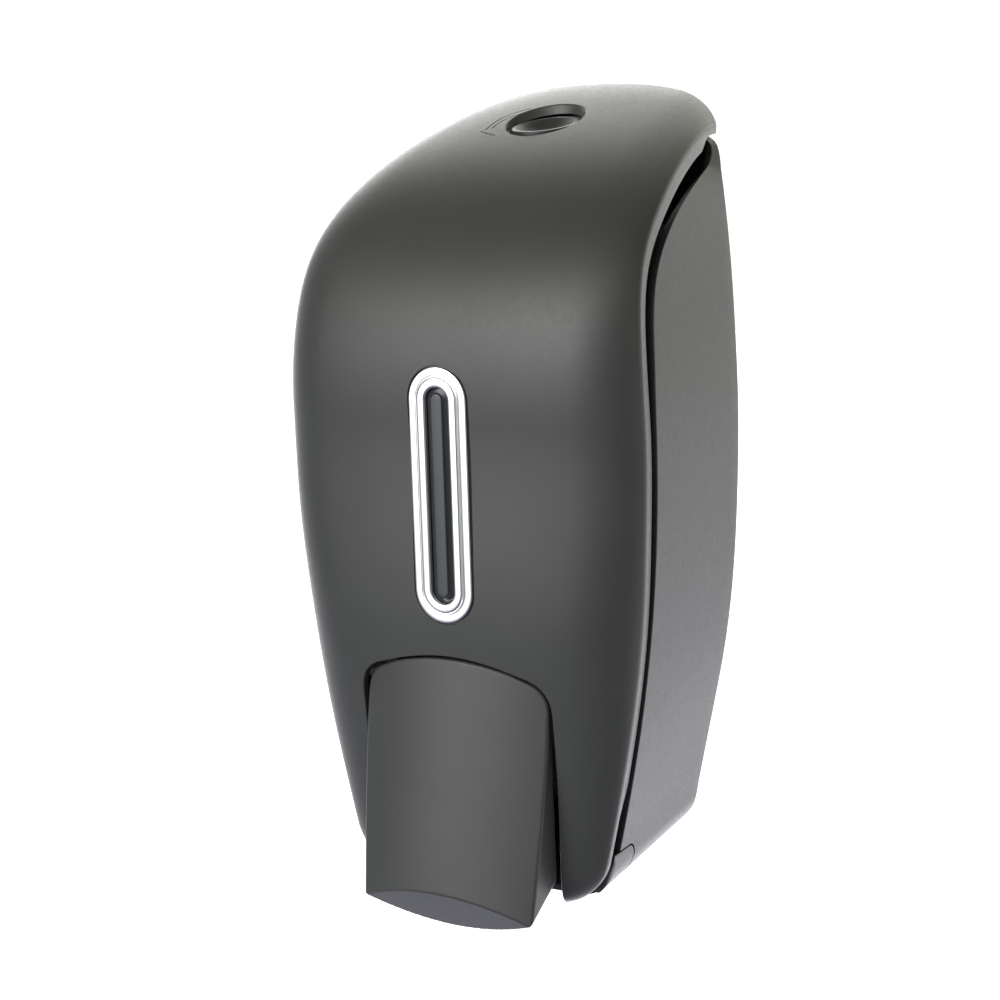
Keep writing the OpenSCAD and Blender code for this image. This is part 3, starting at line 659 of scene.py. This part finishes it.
def above_skin(p):
    """How far a point near the roof is outside the cover's skin, along the fan's radius."""
    p = np.asarray(p, float)
    y, z = p[..., 1] + 0.4, p[..., 2] - 150
    a = np.arctan2(z, -y)
    tau = 150 + np.clip(a, 0, None) * 95
    d = np.hypot(y, z)
    return d - arc_d(tau, np.clip(p[..., 0] / width(tau), -1, 1))


def on_roof(x, y):
    """Height in the lock frame of the roof over (x, y) of the lock frame."""
    x, y = np.broadcast_arrays(np.asarray(x, float), np.asarray(y, float))
    lo, hi = np.full(x.shape, -20.0), np.full(x.shape, 15.0)
    for _ in range(40):
        mid = (lo + hi) / 2
        out = above_skin((np.stack([x, y, mid], -1).reshape(-1, 3) @ L_ROT.T + L_POS).reshape(*x.shape, 3)) > 0
        hi, lo = np.where(out, mid, hi), np.where(out, lo, mid)
    return (lo + hi) / 2


def lock_recess():
    n = 120
    al = np.radians(np.arange(n) * 360 / n)
    ca, sa = np.cos(al), np.sin(al)
    lo, hi = np.full(n, 11.2), np.full(n, 15.2)
    for _ in range(40):
        mid = (lo + hi) / 2
        out = -1 + (mid - 11.2) * 2.85 > on_roof(mid * ca, mid * sa)
        hi, lo = np.where(out, mid, hi), np.where(out, lo, mid)
    rho = (lo + hi) / 2
    zr = on_roof(rho * ca, rho * sa)
    slope = (on_roof((rho + 0.6) * ca, (rho + 0.6) * sa) - zr) / 0.6
    cone = np.array([1, 2.85]) / math.hypot(1, 2.85)
    sd = np.stack([np.ones(n), slope], 1)
    sd /= np.linalg.norm(sd, axis=1, keepdims=True)
    c0 = np.stack([rho, zr], 1)
    r = 0.35
    p1 = c0 - cone * r
    p2 = c0 + sd * r
    mid = (p1 + p2) / 2 * 0.78 + c0 * 0.22
    upn = np.stack([-sd[:, 1], sd[:, 0]], 1)
    p3 = p2 + sd * 0.9 + upn * 0.35
    ring = lambda q: lock_point(np.stack([q[:, 0] * ca, q[:, 0] * sa, q[:, 1]], 1))
    flat = lambda rr, z: ring(np.stack([np.full(n, rr), np.full(n, z)], 1))
    top = p3.copy()
    top[:, 1] = 14.0
    rings = [flat(11.2, -22.0), flat(11.2, -1.0)] + [ring(p1), ring(mid), ring(p2), ring(p3), ring(top)]
    return closed_rings("cut_lock", rings)


def arrow_grooves():
    """Shallow engraved turning arrow beside the lock: two thin arcs and a head."""
    cuts = []

    def groove(path, r=0.2):
        path = np.asarray(path, float)
        z = on_roof(path[:, 0], path[:, 1])
        c = lock_point(np.stack([path[:, 0], path[:, 1], z], 1))
        t = np.gradient(c, axis=0)
        t /= np.linalg.norm(t, axis=1, keepdims=True)
        upv = np.array([0, 0.0, 1.0])
        a = np.cross(t, upv)
        a /= np.linalg.norm(a, axis=1, keepdims=True)
        b = np.cross(a, t)
        rings = [c + r * (math.cos(k * math.pi / 4) * a + math.sin(k * math.pi / 4) * b) for k in range(8)]
        rings = np.stack(rings, 1)
        cuts.append(loft_object("cut_arrow", list(rings)))

    for pts in (
        [(-10.3, 10.4), (-12.4, 8.9), (-14.2, 6.9), (-15.8, 4.8), (-16.9, 2.4), (-17.6, -1.7), (-17.4, -6.3)],
        [(-10.6, 7.2), (-12.4, 4.9), (-14.4, 2.2), (-15.4, -0.6), (-15.5, -5.2)],
        [(-18.7, -7.0), (-17.3, -7.9), (-14.6, -9.4), (-11.6, -10.7)]):
        pts = np.array(pts)
        seg = np.r_[0, np.cumsum(np.hypot(*np.diff(pts, axis=0).T))]
        u = np.linspace(0, seg[-1], 40)
        groove(np.stack([spline(seg, pts[:, 0])(u), spline(seg, pts[:, 1])(u)], 1), 0.24)
    return cuts


def join(obs):
    bm = bmesh.new()
    for o in obs:
        bm.from_mesh(o.data)
    me = obs[0].data
    bm.to_mesh(me)
    bm.free()
    for o in obs[1:]:
        bpy.data.objects.remove(o)
    return obs[0]


def seat_cut(rings):
    return closed_rings("cut_seat", rings)


seat = seat_cut([window_ring(10.12, -12), window_ring(10.12, -0.1), window_ring(10.08, 0.25), window_ring(10.08, 0.66), window_ring(7.6, 0.665), window_ring(7.6, 14)])
cutters = join([bar_opening(), seat, lock_recess()])
boolean(cover, cutters)
boolean(cover, join(arrow_grooves()))
tidy(cover)
set_normals(cover, cover_ref)
paint(cover, "cover_abs")
cover.data.materials.append(MAT["crease_highlight_abs"])
# the small faces along the side crease take the second slot, the lighter plastic: a painted highlight line
crease_t = np.linspace(8, TAU_END, 900)
curves = [placed(crease_t, width(crease_t) - 0.1, f_crease(crease_t) - 0.03)]
near = KDTree(sum(len(c) for c in curves))
n_in = 0
for c in curves:
    for q in metres(c):
        near.insert(Vector(q), n_in)
        n_in += 1
near.balance()
for poly in cover.data.polygons:
    if poly.area < 4e-6 and near.find(poly.center)[2] < 0.00036:
        poly.material_index = 1
stand_in(cover, "cover", "cover_abs", "front_cover")

# ---------------------------------------------------------------------------
# rear housing
# ---------------------------------------------------------------------------
HOUSING_T, BACK_T = 2.4, 3.0
f_wall = spline(25 + 25 * np.arange(9.0), [38.2, 42.9, 47.4, 49.9, 50.7, 50.5, 49, 46.7, 43.2])
ARCH = np.array([[42.5, 229.5], [41.5, 231.6], [39.4, 232.8], [37.2, 233.7], [34.6, 236.2], [29, 239.2], [20, 241.4], [10, 242.7], [0, 243.2]])


def stations():
    """Pairs of rim point and wall point from the bottom middle up the right side to the top middle."""
    out = []
    for x in np.linspace(0, 27, 10):
        out.append([[x, -64.4, 7.6 + x / 50], [x * 0.86, 0, 13.1 + x / 50]])
    for a in np.arange(270, 361, 5.0):
        c, s = math.cos(math.radians(a)), math.sin(math.radians(a))
        out.append([[28.9 + 14 * c, -64.4 - 0.04 * (a - 270) / 6, 22 + 14 * s], [25.4 + 13 * c, 0, 26.5 + 13 * s]])
    t1 = float(np.interp(10.6, np.arange(12.0), TK))
    t0 = float(np.interp(0.72, np.arange(12.0), TK))
    for tau in np.linspace(t0, t1, 110):
        g = float(f_rim(tau))
        e = float(f_crease(tau)) - g
        z = float(level(tau)) + e * math.sin(float(phi(tau)))
        zb = 26.5 + (224.5 - 26.5) * (z - 22) / 202.5
        out.append([[float(width(tau)) - float(taper(tau)) * g, -e * math.cos(float(phi(tau))), z], [float(f_wall(zb)), 0, zb]])
    seg = np.r_[0, np.cumsum(np.hypot(*np.diff(ARCH, axis=0).T))]
    fx, fz = spline(seg, ARCH[:, 0]), spline(seg, ARCH[:, 1])
    for u in np.linspace(0, seg[-1], 34):
        x, z = float(fx(u)), float(fz(u))
        out.append([[x + 0.1 * (x > 0.01), -4.8, z - 0.7], [x, 0, z]])
    return np.array(out)


st = stations()
# blend the joins so that the outline has no kinks
k = np.exp(-0.5 * (np.arange(-3, 4) / 1.3) ** 2)
k /= k.sum()
mirror = st[1:4][::-1] * [-1, 1, 1]
pad = np.vstack([mirror, st, st[-2:-5:-1] * [-1, 1, 1]])
st = sum(k[i] * pad[i:i + len(st)] for i in range(7))
ring = np.vstack([st, st[-2:0:-1] * [-1, 1, 1]])
NR = len(ring)


def inward(kk):
    p = ring[:, kk]
    d = np.roll(p, -1, 0) - np.roll(p, 1, 0)
    l = np.hypot(d[:, 0], d[:, 2])
    return np.stack([-d[:, 2] / l, np.zeros(NR), d[:, 0] / l], 1)


IW, IR = inward(1), inward(0)
wall_pt, rim_pt = ring[:, 1], ring[:, 0]


def at_depth(y):
    u = (y / rim_pt[:, 1])[:, None]
    return wall_pt + (rim_pt - wall_pt) * u


rim_len = np.abs(rim_pt[:, 1:2])
rows = [wall_pt + 2 * IW, at_depth(-0.06) + 1.25 * IW, at_depth(-0.25) + 0.8 * IW, at_depth(-0.6) + 0.4 * IW, at_depth(-1.1) + 0.15 * IW, at_depth(-1.6) + 0.04 * IW, at_depth(-2.2)]
for u in (0.12, 0.25, 0.4, 0.55, 0.7, 0.82, 0.91):
    rows.append(wall_pt + (rim_pt - wall_pt) * u)
fwd = (rim_pt - wall_pt) / np.linalg.norm(rim_pt - wall_pt, axis=1, keepdims=True)
rows += [rim_pt - fwd * 0.4, rim_pt - fwd * 0.12 + IR * 0.12, rim_pt + IR * 0.4, rim_pt + IR * (HOUSING_T - 0.3), rim_pt - fwd * 0.1 + IR * (HOUSING_T - 0.08), rim_pt - fwd * 0.35 + IR * HOUSING_T]
rows += [rim_pt + (wall_pt - rim_pt) * 0.5 + (IR + IW) / 2 * (HOUSING_T + 0.1)]
rows += [at_depth(-BACK_T - 0.8) + (HOUSING_T + 0.1) * IW, at_depth(-BACK_T) + (HOUSING_T + 0.9) * IW]
K = len(rows)
grid = np.stack(rows, 1)  # NR x K x 3
verts = grid.reshape(-1, 3)
faces = []
for i in range(NR):
    j = (i + 1) % NR
    for r in range(K - 1):
        faces.append((i * K + r, i * K + r + 1, j * K + r + 1, j * K + r))
faces.append(tuple(i * K for i in range(NR))[::-1])
faces.append(tuple(i * K + K - 1 for i in range(NR)))
housing = mesh_object("rear_housing_shell", verts, faces)
outward(housing)
h_ref_grid = np.stack([at_depth(-3.0)] + [wall_pt + (rim_pt - wall_pt) * u for u in np.linspace(0.05, 0.97, 16)] + [rim_pt - fwd * 0.4], 1)
h_ref_grid = np.concatenate([h_ref_grid, h_ref_grid[:1]], 0)
housing_ref = grid_ref(h_ref_grid)
mid = housing_ref[2].reshape(NR + 1, -1, 3)[60, 8]
if mid[0] * ring[60, 0, 0] < 0:
    housing_ref[2] = -housing_ref[2]


def extrude_poly(name, poly, axis, a, b):
    """Prism of a 2D polygon. axis 'x': poly is (Y, Z); 'y': poly is (X, Z)."""
    poly = np.asarray(poly, float)
    if axis == "x":
        r = lambda v: np.stack([np.full(len(poly), v), poly[:, 0], poly[:, 1]], 1)
    else:
        r = lambda v: np.stack([poly[:, 0], np.full(len(poly), v), poly[:, 1]], 1)
    return loft_object(name, [r(a), r(b)])


def disc(cx, cy, r, n=48):
    a = np.radians(np.arange(n) * 360 / n)
    return np.stack([cx + r * np.cos(a), cy + r * np.sin(a)], 1)


def ear_outline(g, front, n=24):
    """Round end at the hinge axis, straight sides forward to Y = -front."""
    a = np.radians(np.linspace(-90, 90, n + 1))
    r = 6 + g
    arc = np.stack([-58 + r * np.cos(a), 17.5 + r * np.sin(a)], 1)
    return np.vstack([arc, [[-front, 17.5 + r], [-front, 17.5 - r]]])


parts = []
for s in (1, -1):
    parts.append(extrude_poly("rib", [[-51, 10.6], [-51, 19], [-54, 23], [-62.4, 23], [-62.4, 9.4]], "x", s * 30.2, s * 34.2))
for x, z in ((-12, 57), (12, 57), (-10, 221), (4, 221)):
    parts.append(extrude_poly("boss", disc(x, z, 4), "y", -6, -2))
boolean(housing, join(parts), "UNION")
cuts = []
for s in (1, -1):
    slot = ear_outline(0.5, 80)[12:25]
    slot = np.vstack([slot, [[-80, 24.0], [-80, -5], [-51.5, -5]]])
    cuts.append(extrude_poly("c", slot, "x", s * 34.7, s * 56))
boolean(housing, join(cuts))
cuts = []
for sx in (-25, 25):
    for sz in (-55, 55):
        cuts.append(extrude_poly("c", disc(sx, MZ + sz, 2.5), "y", -12, 2))
a = np.radians(np.linspace(0, 180, 33))
slot = np.vstack([np.stack([6.4 * np.cos(a), -39 + 6.4 * np.sin(a)], 1), [[-6.4, -82], [6.4, -82]]])
cuts.append(loft_object("c", [np.stack([slot[:, 0], slot[:, 1], np.full(len(slot), z)], 1) for z in (3.0, 12.6)]))
for x, z in ((-12, 57), (12, 57), (-10, 221), (4, 221)):
    cuts.append(extrude_poly("c", disc(x, z, 1.5, 24), "y", -8, -1))
for s in (1, -1):
    pin = disc(-58, 17.5, 2.0, 32)
    cuts.append(extrude_poly("c", pin, "x", s * 29, s * 34.6))
boolean(housing, join(cuts))
tidy(housing)
set_normals(housing, housing_ref)
paint(housing, "housing_abs")
stand_in(housing, "housing", "housing_abs", "rear_housing")

# ---------------------------------------------------------------------------
# hinge arms: part of the cover, flush with the housing's side
# ---------------------------------------------------------------------------
solid_rows = [wall_pt, wall_pt + (rim_pt - wall_pt) * 0.35, wall_pt + (rim_pt - wall_pt) * 0.7, rim_pt, wall_pt + (rim_pt - wall_pt) * 1.075]
sg = np.stack(solid_rows, 1)
sf = []
SK = sg.shape[1]
for i in range(NR):
    j = (i + 1) % NR
    for r in range(SK - 1):
        sf.append((i * SK + r, i * SK + r + 1, j * SK + r + 1, j * SK + r))
skin_tree = BVHTree.FromPolygons([Vector(p) for p in sg.reshape(-1, 3)], [tuple(f) for f in sf])


def side_x(y, z, s):
    hit = skin_tree.ray_cast(Vector((s * 90, y, z)), Vector((-s, 0, 0)))
    return hit[0][0] if hit[0] is not None else None


def hinge_arm(s):
    rings = []
    for inset, drop in ((0, 0.3), (0.06, 0.12), (0.18, 0.03), (0.4, 0.0), (1.6, 0), (2.8, 0), (4.0, 0), (5.2, 0), (5.9, 0)):
        o = ear_outline(-inset, 69, 32)
        # the straight sides get points of their own
        top = np.stack([np.linspace(-58, -69 + inset * 0.3, 9)[1:], np.full(8, 17.5 + 6 - inset)], 1)
        bot = np.stack([np.linspace(-69 + inset * 0.3, -58, 9)[:-1], np.full(8, 17.5 - 6 + inset)], 1)
        o = np.vstack([o[:33], top, bot])
        pts = []
        for y, z in o:
            zz = z
            x = side_x(y, zz, s)
            while x is None and zz < 17.5:
                zz += 0.25
                x = side_x(y, zz, s)
            if x is None:
                x = s * 40.0
            x = s * max(abs(x) - drop, 35.4)
            pts.append([x, y, zz])
        rings.append(pts)
    back = [[s * 35.2, p[1], p[2]] for p in rings[0]]
    rings = [back] + rings
    ob = loft_object("hinge_arm", rings)
    return ob


# ---------------------------------------------------------------------------
# surface nets: a smooth skin on an implicit solid
# ---------------------------------------------------------------------------
def surface_nets(f, lo, hi, h, steps=4):
    """Mesh of f = 0 over a grid of pitch h, each vertex then moved onto the surface. Returns points, quads and normals."""
    ax = [np.arange(a, b + h, h) for a, b in zip(lo, hi)]
    X, Y, Z = np.meshgrid(*ax, indexing="ij")
    v = f(np.stack([X, Y, Z], -1).reshape(-1, 3)).reshape(X.shape)
    inside = v < 0
    c = np.zeros(tuple(s - 1 for s in v.shape), int)
    for dx in (0, 1):
        for dy in (0, 1):
            for dz in (0, 1):
                c += inside[dx:v.shape[0] - 1 + dx, dy:v.shape[1] - 1 + dy, dz:v.shape[2] - 1 + dz]
    act = (c > 0) & (c < 8)
    idx = -np.ones(c.shape, int)
    cells = np.argwhere(act)
    idx[act] = np.arange(len(cells))
    acc, cnt = np.zeros((len(cells), 3)), np.zeros(len(cells))
    corners = [(a, b, d) for a in (0, 1) for b in (0, 1) for d in (0, 1)]
    for p in corners:
        for axis in range(3):
            if p[axis]:
                continue
            q = list(p)
            q[axis] = 1
            vp = v[cells[:, 0] + p[0], cells[:, 1] + p[1], cells[:, 2] + p[2]]
            vq = v[cells[:, 0] + q[0], cells[:, 1] + q[1], cells[:, 2] + q[2]]
            ok = (vp < 0) != (vq < 0)
            t = np.where(ok, vp / np.where(ok, vp - vq, 1), 0)
            pos = np.array(p, float)[None] + np.zeros((len(cells), 3))
            pos[:, axis] += t
            acc += pos * ok[:, None]
            cnt += ok
    pts = (cells + acc / cnt[:, None]) * h + np.array(lo)
    quads = []
    for axis in range(3):
        o1, o2 = [(1, 2), (2, 0), (0, 1)][axis]
        sl_a = [slice(None)] * 3
        sl_b = [slice(None)] * 3
        sl_a[axis], sl_b[axis] = slice(0, -1), slice(1, None)
        e = np.argwhere(inside[tuple(sl_a)] != inside[tuple(sl_b)])
        e = e[(e[:, o1] > 0) & (e[:, o2] > 0) & (e[:, o1] < v.shape[o1] - 1) & (e[:, o2] < v.shape[o2] - 1)]
        s = inside[tuple(sl_a)][e[:, 0], e[:, 1], e[:, 2]]
        d1, d2 = np.zeros(3, int), np.zeros(3, int)
        d1[o1], d2[o2] = 1, 1
        g = lambda w: idx[w[:, 0], w[:, 1], w[:, 2]]
        q = np.stack([g(e - d1 - d2), g(e - d2), g(e), g(e - d1)], 1)
        q[~s] = q[~s][:, ::-1]
        quads.append(q)
    quads = np.vstack(quads)
    e = 0.02

    def grad(p):
        out = np.zeros_like(p)
        for i in range(3):
            d = np.zeros(3)
            d[i] = e
            out[:, i] = (f(p + d) - f(p - d)) / (2 * e)
        return out

    for _ in range(steps):
        g = grad(pts)
        n2 = np.maximum((g * g).sum(1), 0.05)
        move = -(f(pts) / n2)[:, None] * g
        l = np.linalg.norm(move, axis=1, keepdims=True)
        pts = pts + move * np.minimum(1, 0.5 * h / np.maximum(l, 1e-9))
    g = grad(pts)
    nrm = g / np.maximum(np.linalg.norm(g, axis=1, keepdims=True), 1e-9)
    return pts, quads, nrm


def net_object(name, f, lo, hi, h):
    pts, quads, nrm = surface_nets(f, lo, hi, h)
    ob = mesh_object(name, pts, quads)
    me = ob.data
    me.normals_split_custom_set_from_vertices([tuple(map(float, n)) for n in nrm])
    me.update()
    return ob


def poly_distance(poly):
    """Signed distance to a closed polygon, negative inside."""
    poly = np.asarray(poly, float)
    a, b = poly, np.roll(poly, -1, 0)
    ab = b - a
    l2 = (ab**2).sum(1)

    def f(p):
        out = np.empty(len(p))
        for k0 in range(0, len(p), 20000):
            q = p[k0:k0 + 20000]
            ap = q[:, None] - a[None]
            t = np.clip((ap * ab).sum(2) / l2, 0, 1)
            d = np.sqrt((((ap - t[..., None] * ab) ** 2).sum(2)).min(1))
            cond = (a[None, :, 1] > q[:, None, 1]) != (b[None, :, 1] > q[:, None, 1])
            xs = a[None, :, 0] + (q[:, None, 1] - a[None, :, 1]) * ab[None, :, 0] / np.where(ab[None, :, 1] == 0, 1e-12, ab[None, :, 1])
            ins = ((q[:, None, 0] < xs) & cond).sum(1) % 2 == 1
            out[k0:k0 + 20000] = np.where(ins, -d, d)
        return out

    return f


def table_2d(fn, lo, hi, h):
    """fn sampled on a fine 2D grid, then read back by bicubic-like interpolation: fast for many points."""
    ax, ay = np.arange(lo[0], hi[0] + h, h), np.arange(lo[1], hi[1] + h, h)
    g = fn(np.stack(np.meshgrid(ax, ay, indexing="ij"), -1).reshape(-1, 2)).reshape(len(ax), len(ay))

    def f(x, y):
        u, v = np.clip((x - lo[0]) / h, 1, len(ax) - 3.001), np.clip((y - lo[1]) / h, 1, len(ay) - 3.001)
        i, j = u.astype(int), v.astype(int)
        s, t = u - i, v - j

        def w(s):
            return [(-s + 2 * s**2 - s**3) / 2, (2 - 5 * s**2 + 3 * s**3) / 2, (s + 4 * s**2 - 3 * s**3) / 2, (-(s**2) + s**3) / 2]

        ws, wt = w(s), w(t)
        out = 0
        for a in range(4):
            for b in range(4):
                out = out + ws[a] * wt[b] * g[i + a - 1, j + b - 1]
        return out

    return f


def cap_and(a, b, r):
    """Both, with the shared edge rounded by r."""
    u, v = np.maximum(a + r, 0), np.maximum(b + r, 0)
    return np.minimum(np.maximum(a, b), -r) + np.hypot(u, v)


# ---------------------------------------------------------------------------
# push bar
# ---------------------------------------------------------------------------
bar_poly = bar_outline(0.0, -4.0, step=0.8, sigma=1.2)
bar_side = table_2d(poly_distance(bar_poly), (-40, -12), (40, 92), 0.4)
CY = np.array([0, math.sin(math.radians(4.8)), math.cos(math.radians(4.8))])
UR = math.radians(35)
BAR_T = 2.5


def bar_terms(p):
    x, y, z = p[:, 0], p[:, 1], p[:, 2]
    side = bar_side(x, z)
    q = p - [0, -5.4, 20]
    along = q @ CY
    rad = np.sqrt(x**2 + ((q - along[:, None] * CY)[:, 1:] ** 2).sum(1))
    front = rad - 90.0
    chamfer = (y + 91.3) * -0.823 + (z - 5.0) * -0.568
    zz = -(y + 88) * math.sin(UR) + (z - 0.8) * math.cos(UR)
    cc = 8.6 * math.cos(UR) / 29.1**2
    under = (cc * x**2 - zz) / np.sqrt(1 + (2 * cc * x) ** 2)
    return side, front, chamfer, under


def bar_body(p, k=0.0, r=0.7):
    side, front, chamfer, under = bar_terms(p)
    if k:
        side, front, chamfer, under = side + k, front + k, chamfer + k, under + k
    f = cap_and(front, chamfer, 0.3)
    f = cap_and(f, under, 0.3)
    return cap_and(f, side, r)


def box_dist(p, c, half):
    q = np.abs(p - c) - half
    return np.minimum(q.max(1), 0) + np.linalg.norm(np.maximum(q, 0), axis=1)


ear_p = table_2d(poly_distance([[-88, 78], [-80, 77.6], [-76.6, 75.5], [-76.6, 72], [-79, 70.2], [-89, 60]]), (-100, 20), (-66, 92), 0.3)
rib_p = table_2d(poly_distance([[-93, 44], [-81, 42.5], [-81, 33.5], [-93, 30]]), (-104, 20), (-66, 60), 0.3)


def bar_field(p):
    x, y, z = p[:, 0], p[:, 1], p[:, 2]
    outer = bar_body(p)
    inner = bar_body(p, BAR_T, 0.6)
    back = y + np.where(z > 81, 84.4, 81.4 + (np.clip(z, -10, 81) - 10) / 71 * 3.0)
    back = back - 3.0 * np.clip((45 - z) / 25, 0, 1) * (np.abs(x) > 20)
    f = np.maximum(cap_and(outer, back, 0.25), -inner)
    ears = np.maximum(np.abs(np.abs(x) - 19.9) - 1.5, ear_p(y, z))
    rib = np.maximum(np.abs(x) - 5, rib_p(y, z))
    nose = np.maximum(np.hypot(y + 80.8, z - 38) - 4.5, np.abs(x) - 7)
    f = np.minimum(np.minimum(f, np.maximum(ears, outer)), np.maximum(np.minimum(rib, nose), outer - 99 * (y > -88)))
    pin = np.hypot(y + 80, z - 74) - 2.05
    return np.maximum(f, -pin)


bar = net_object("push_bar_shell", bar_field, (-33.0, -98.0, -1.5), (33.0, -74.5, 83.5), 0.45)
paint(bar, "bar_abs")
stand_in(bar, "push_bar", "cover_abs", "push_bar")

# ---------------------------------------------------------------------------
# window: chrome bezel and smoked lens
# ---------------------------------------------------------------------------
def sweep_stadium(name, prof, n=30, closed=True):
    """Closed profile of (radius, Y) carried round the stadium."""
    loops = []
    for r, y in prof:
        s = stadium(r, W_HALF, n)
        loops.append(window_point(np.stack([s[:, 0], np.full(len(s), y), s[:, 1]], 1)))
    g = np.stack(loops, 1)
    n_, k_ = g.shape[:2]
    fs = []
    for i in range(n_):
        j = (i + 1) % n_
        for r in range(k_ if closed else k_ - 1):
            fs.append((i * k_ + r, i * k_ + (r + 1) % k_, j * k_ + (r + 1) % k_, j * k_ + r))
    ob = mesh_object(name, g.reshape(-1, 3), fs)
    outward(ob)
    return ob


bezel_prof = [
    (9.5, 0.6), (9.5, -0.36), (9.46, -0.5), (9.36, -0.6), (9.2, -0.64), (8.8, -0.65), (8.0, -0.67), (7.35, -0.68),
    (7.2, -0.64), (7.1, -0.52), (7.0, -0.34), (6.88, -0.28), (6.76, -0.36), (6.62, -0.76), (6.5, -1.04), (6.34, -1.18), (6.1, -1.23), (5.5, -1.25),
    (4.6, -1.25), (4.2, -1.22), (3.98, -1.1), (3.88, -0.9), (3.82, -0.5), (3.78, 0.0), (3.78, 0.6), (6.4, 0.6), (6.4, 4.3), (7.5, 4.3), (7.5, 0.6)]
bezel = sweep_stadium("window_bezel_ring", bezel_prof)
set_normals(bezel, angle=40)
paint(bezel, "chrome_trim")
stand_in(bezel, "cover", "chrome_trim", "window_bezel")

lens_prof = [(6.3, 0.65), (3.68, 0.65), (3.68, 0.3), (3.6, 0.18), (3.4, 0.08), (2.35, -0.3), (2.15, -0.42), (2.05, -0.6), (1.98, -0.86), (1.9, -0.98), (1.76, -1.05), (1.5, -1.07), (0.02, -1.08)]


def solid_stadium(name, prof, y_back, n=24):
    loops = [window_ring(r, y, n) for r, y in prof]
    loops = [window_ring(prof[0][0], y_back, n)] + loops
    ob = loft_object(name, loops)
    return ob


lens = solid_stadium("window_lens_pane", lens_prof, 2.25)
set_normals(lens, angle=40)
paint(lens, "smoke_lens")
stand_in(lens, "cover", "smoke_lens", "window_lens")

arms = join([hinge_arm(1), hinge_arm(-1)])
arms.name = "hinge_arm_pair"
set_normals(arms, angle=40)
paint(arms, "housing_abs")
stand_in(arms, "cover", "housing_abs", "hinge_arms")

# ---------------------------------------------------------------------------
# lock plug: a ring round a shallow dish with a key slot
# ---------------------------------------------------------------------------
def lathe(name, prof, n=96):
    a = np.radians(np.arange(n) * 360 / n)
    loops = [lock_point(np.stack([r * np.cos(a), r * np.sin(a), np.full(n, z)], 1)) for r, z in prof]
    return loft_object(name, loops)


PLUG_UP = 1.05
dish = [(r, PLUG_UP - 0.35 - 3.3 * (1 - (r / 8.3) ** 2)) for r in (8.15, 7.4, 6.5, 5.5, 4.5, 3.4, 2.2, 1.1, 0.02)]
plug = lathe("lock_plug_body", [
    (0.02, -11.0), (6, -11.0), (6, -4.7), (10.35, -4.7), (10.35, PLUG_UP - 0.4), (10.3, PLUG_UP - 0.2), (10.15, PLUG_UP - 0.06), (9.95, PLUG_UP),
    (9.15, PLUG_UP), (8.95, PLUG_UP - 0.03), (8.8, PLUG_UP - 0.12), (8.62, PLUG_UP - 0.24), (8.5, PLUG_UP - 0.32)] + dish)


def lock_box(x0, x1, y0, y1, z0, z1):
    q = np.array([[x0, y0], [x1, y0], [x1, y1], [x0, y1]])
    return loft_object("c", [lock_point(np.column_stack([q, np.full(4, z)])) for z in (z0, z1)])


def lock_slot():
    """Curved key slot along the front of the dish."""
    a = np.radians(np.linspace(244, 296, 19))
    outer = np.stack([7.5 * np.cos(a), 7.5 * np.sin(a)], 1)
    inner = np.stack([5.3 * np.cos(a[::-1]), 5.3 * np.sin(a[::-1])], 1)
    q = np.vstack([outer, inner])
    return loft_object("c", [lock_point(np.column_stack([q, np.full(len(q), z)])) for z in (-3.9, 3.0)])


cuts = [lock_slot(), lock_box(4.4, 8.4, -8, 8, -12, -8.1), lock_box(-8.4, -4.4, -8, 8, -12, -8.1)]
cuts.append(loft_object("c", [lock_point(np.stack([1.4 * np.cos(a), 1.4 * np.sin(a), np.full(24, z)], 1)) for a in [np.radians(np.arange(24) * 15.0)] for z in (-14, -5)]))
boolean(plug, join(cuts))
tidy(plug)
set_normals(plug, angle=35)
paint(plug, "lock_abs")
stand_in(plug, "lock", "lock_abs", "lock_plug")
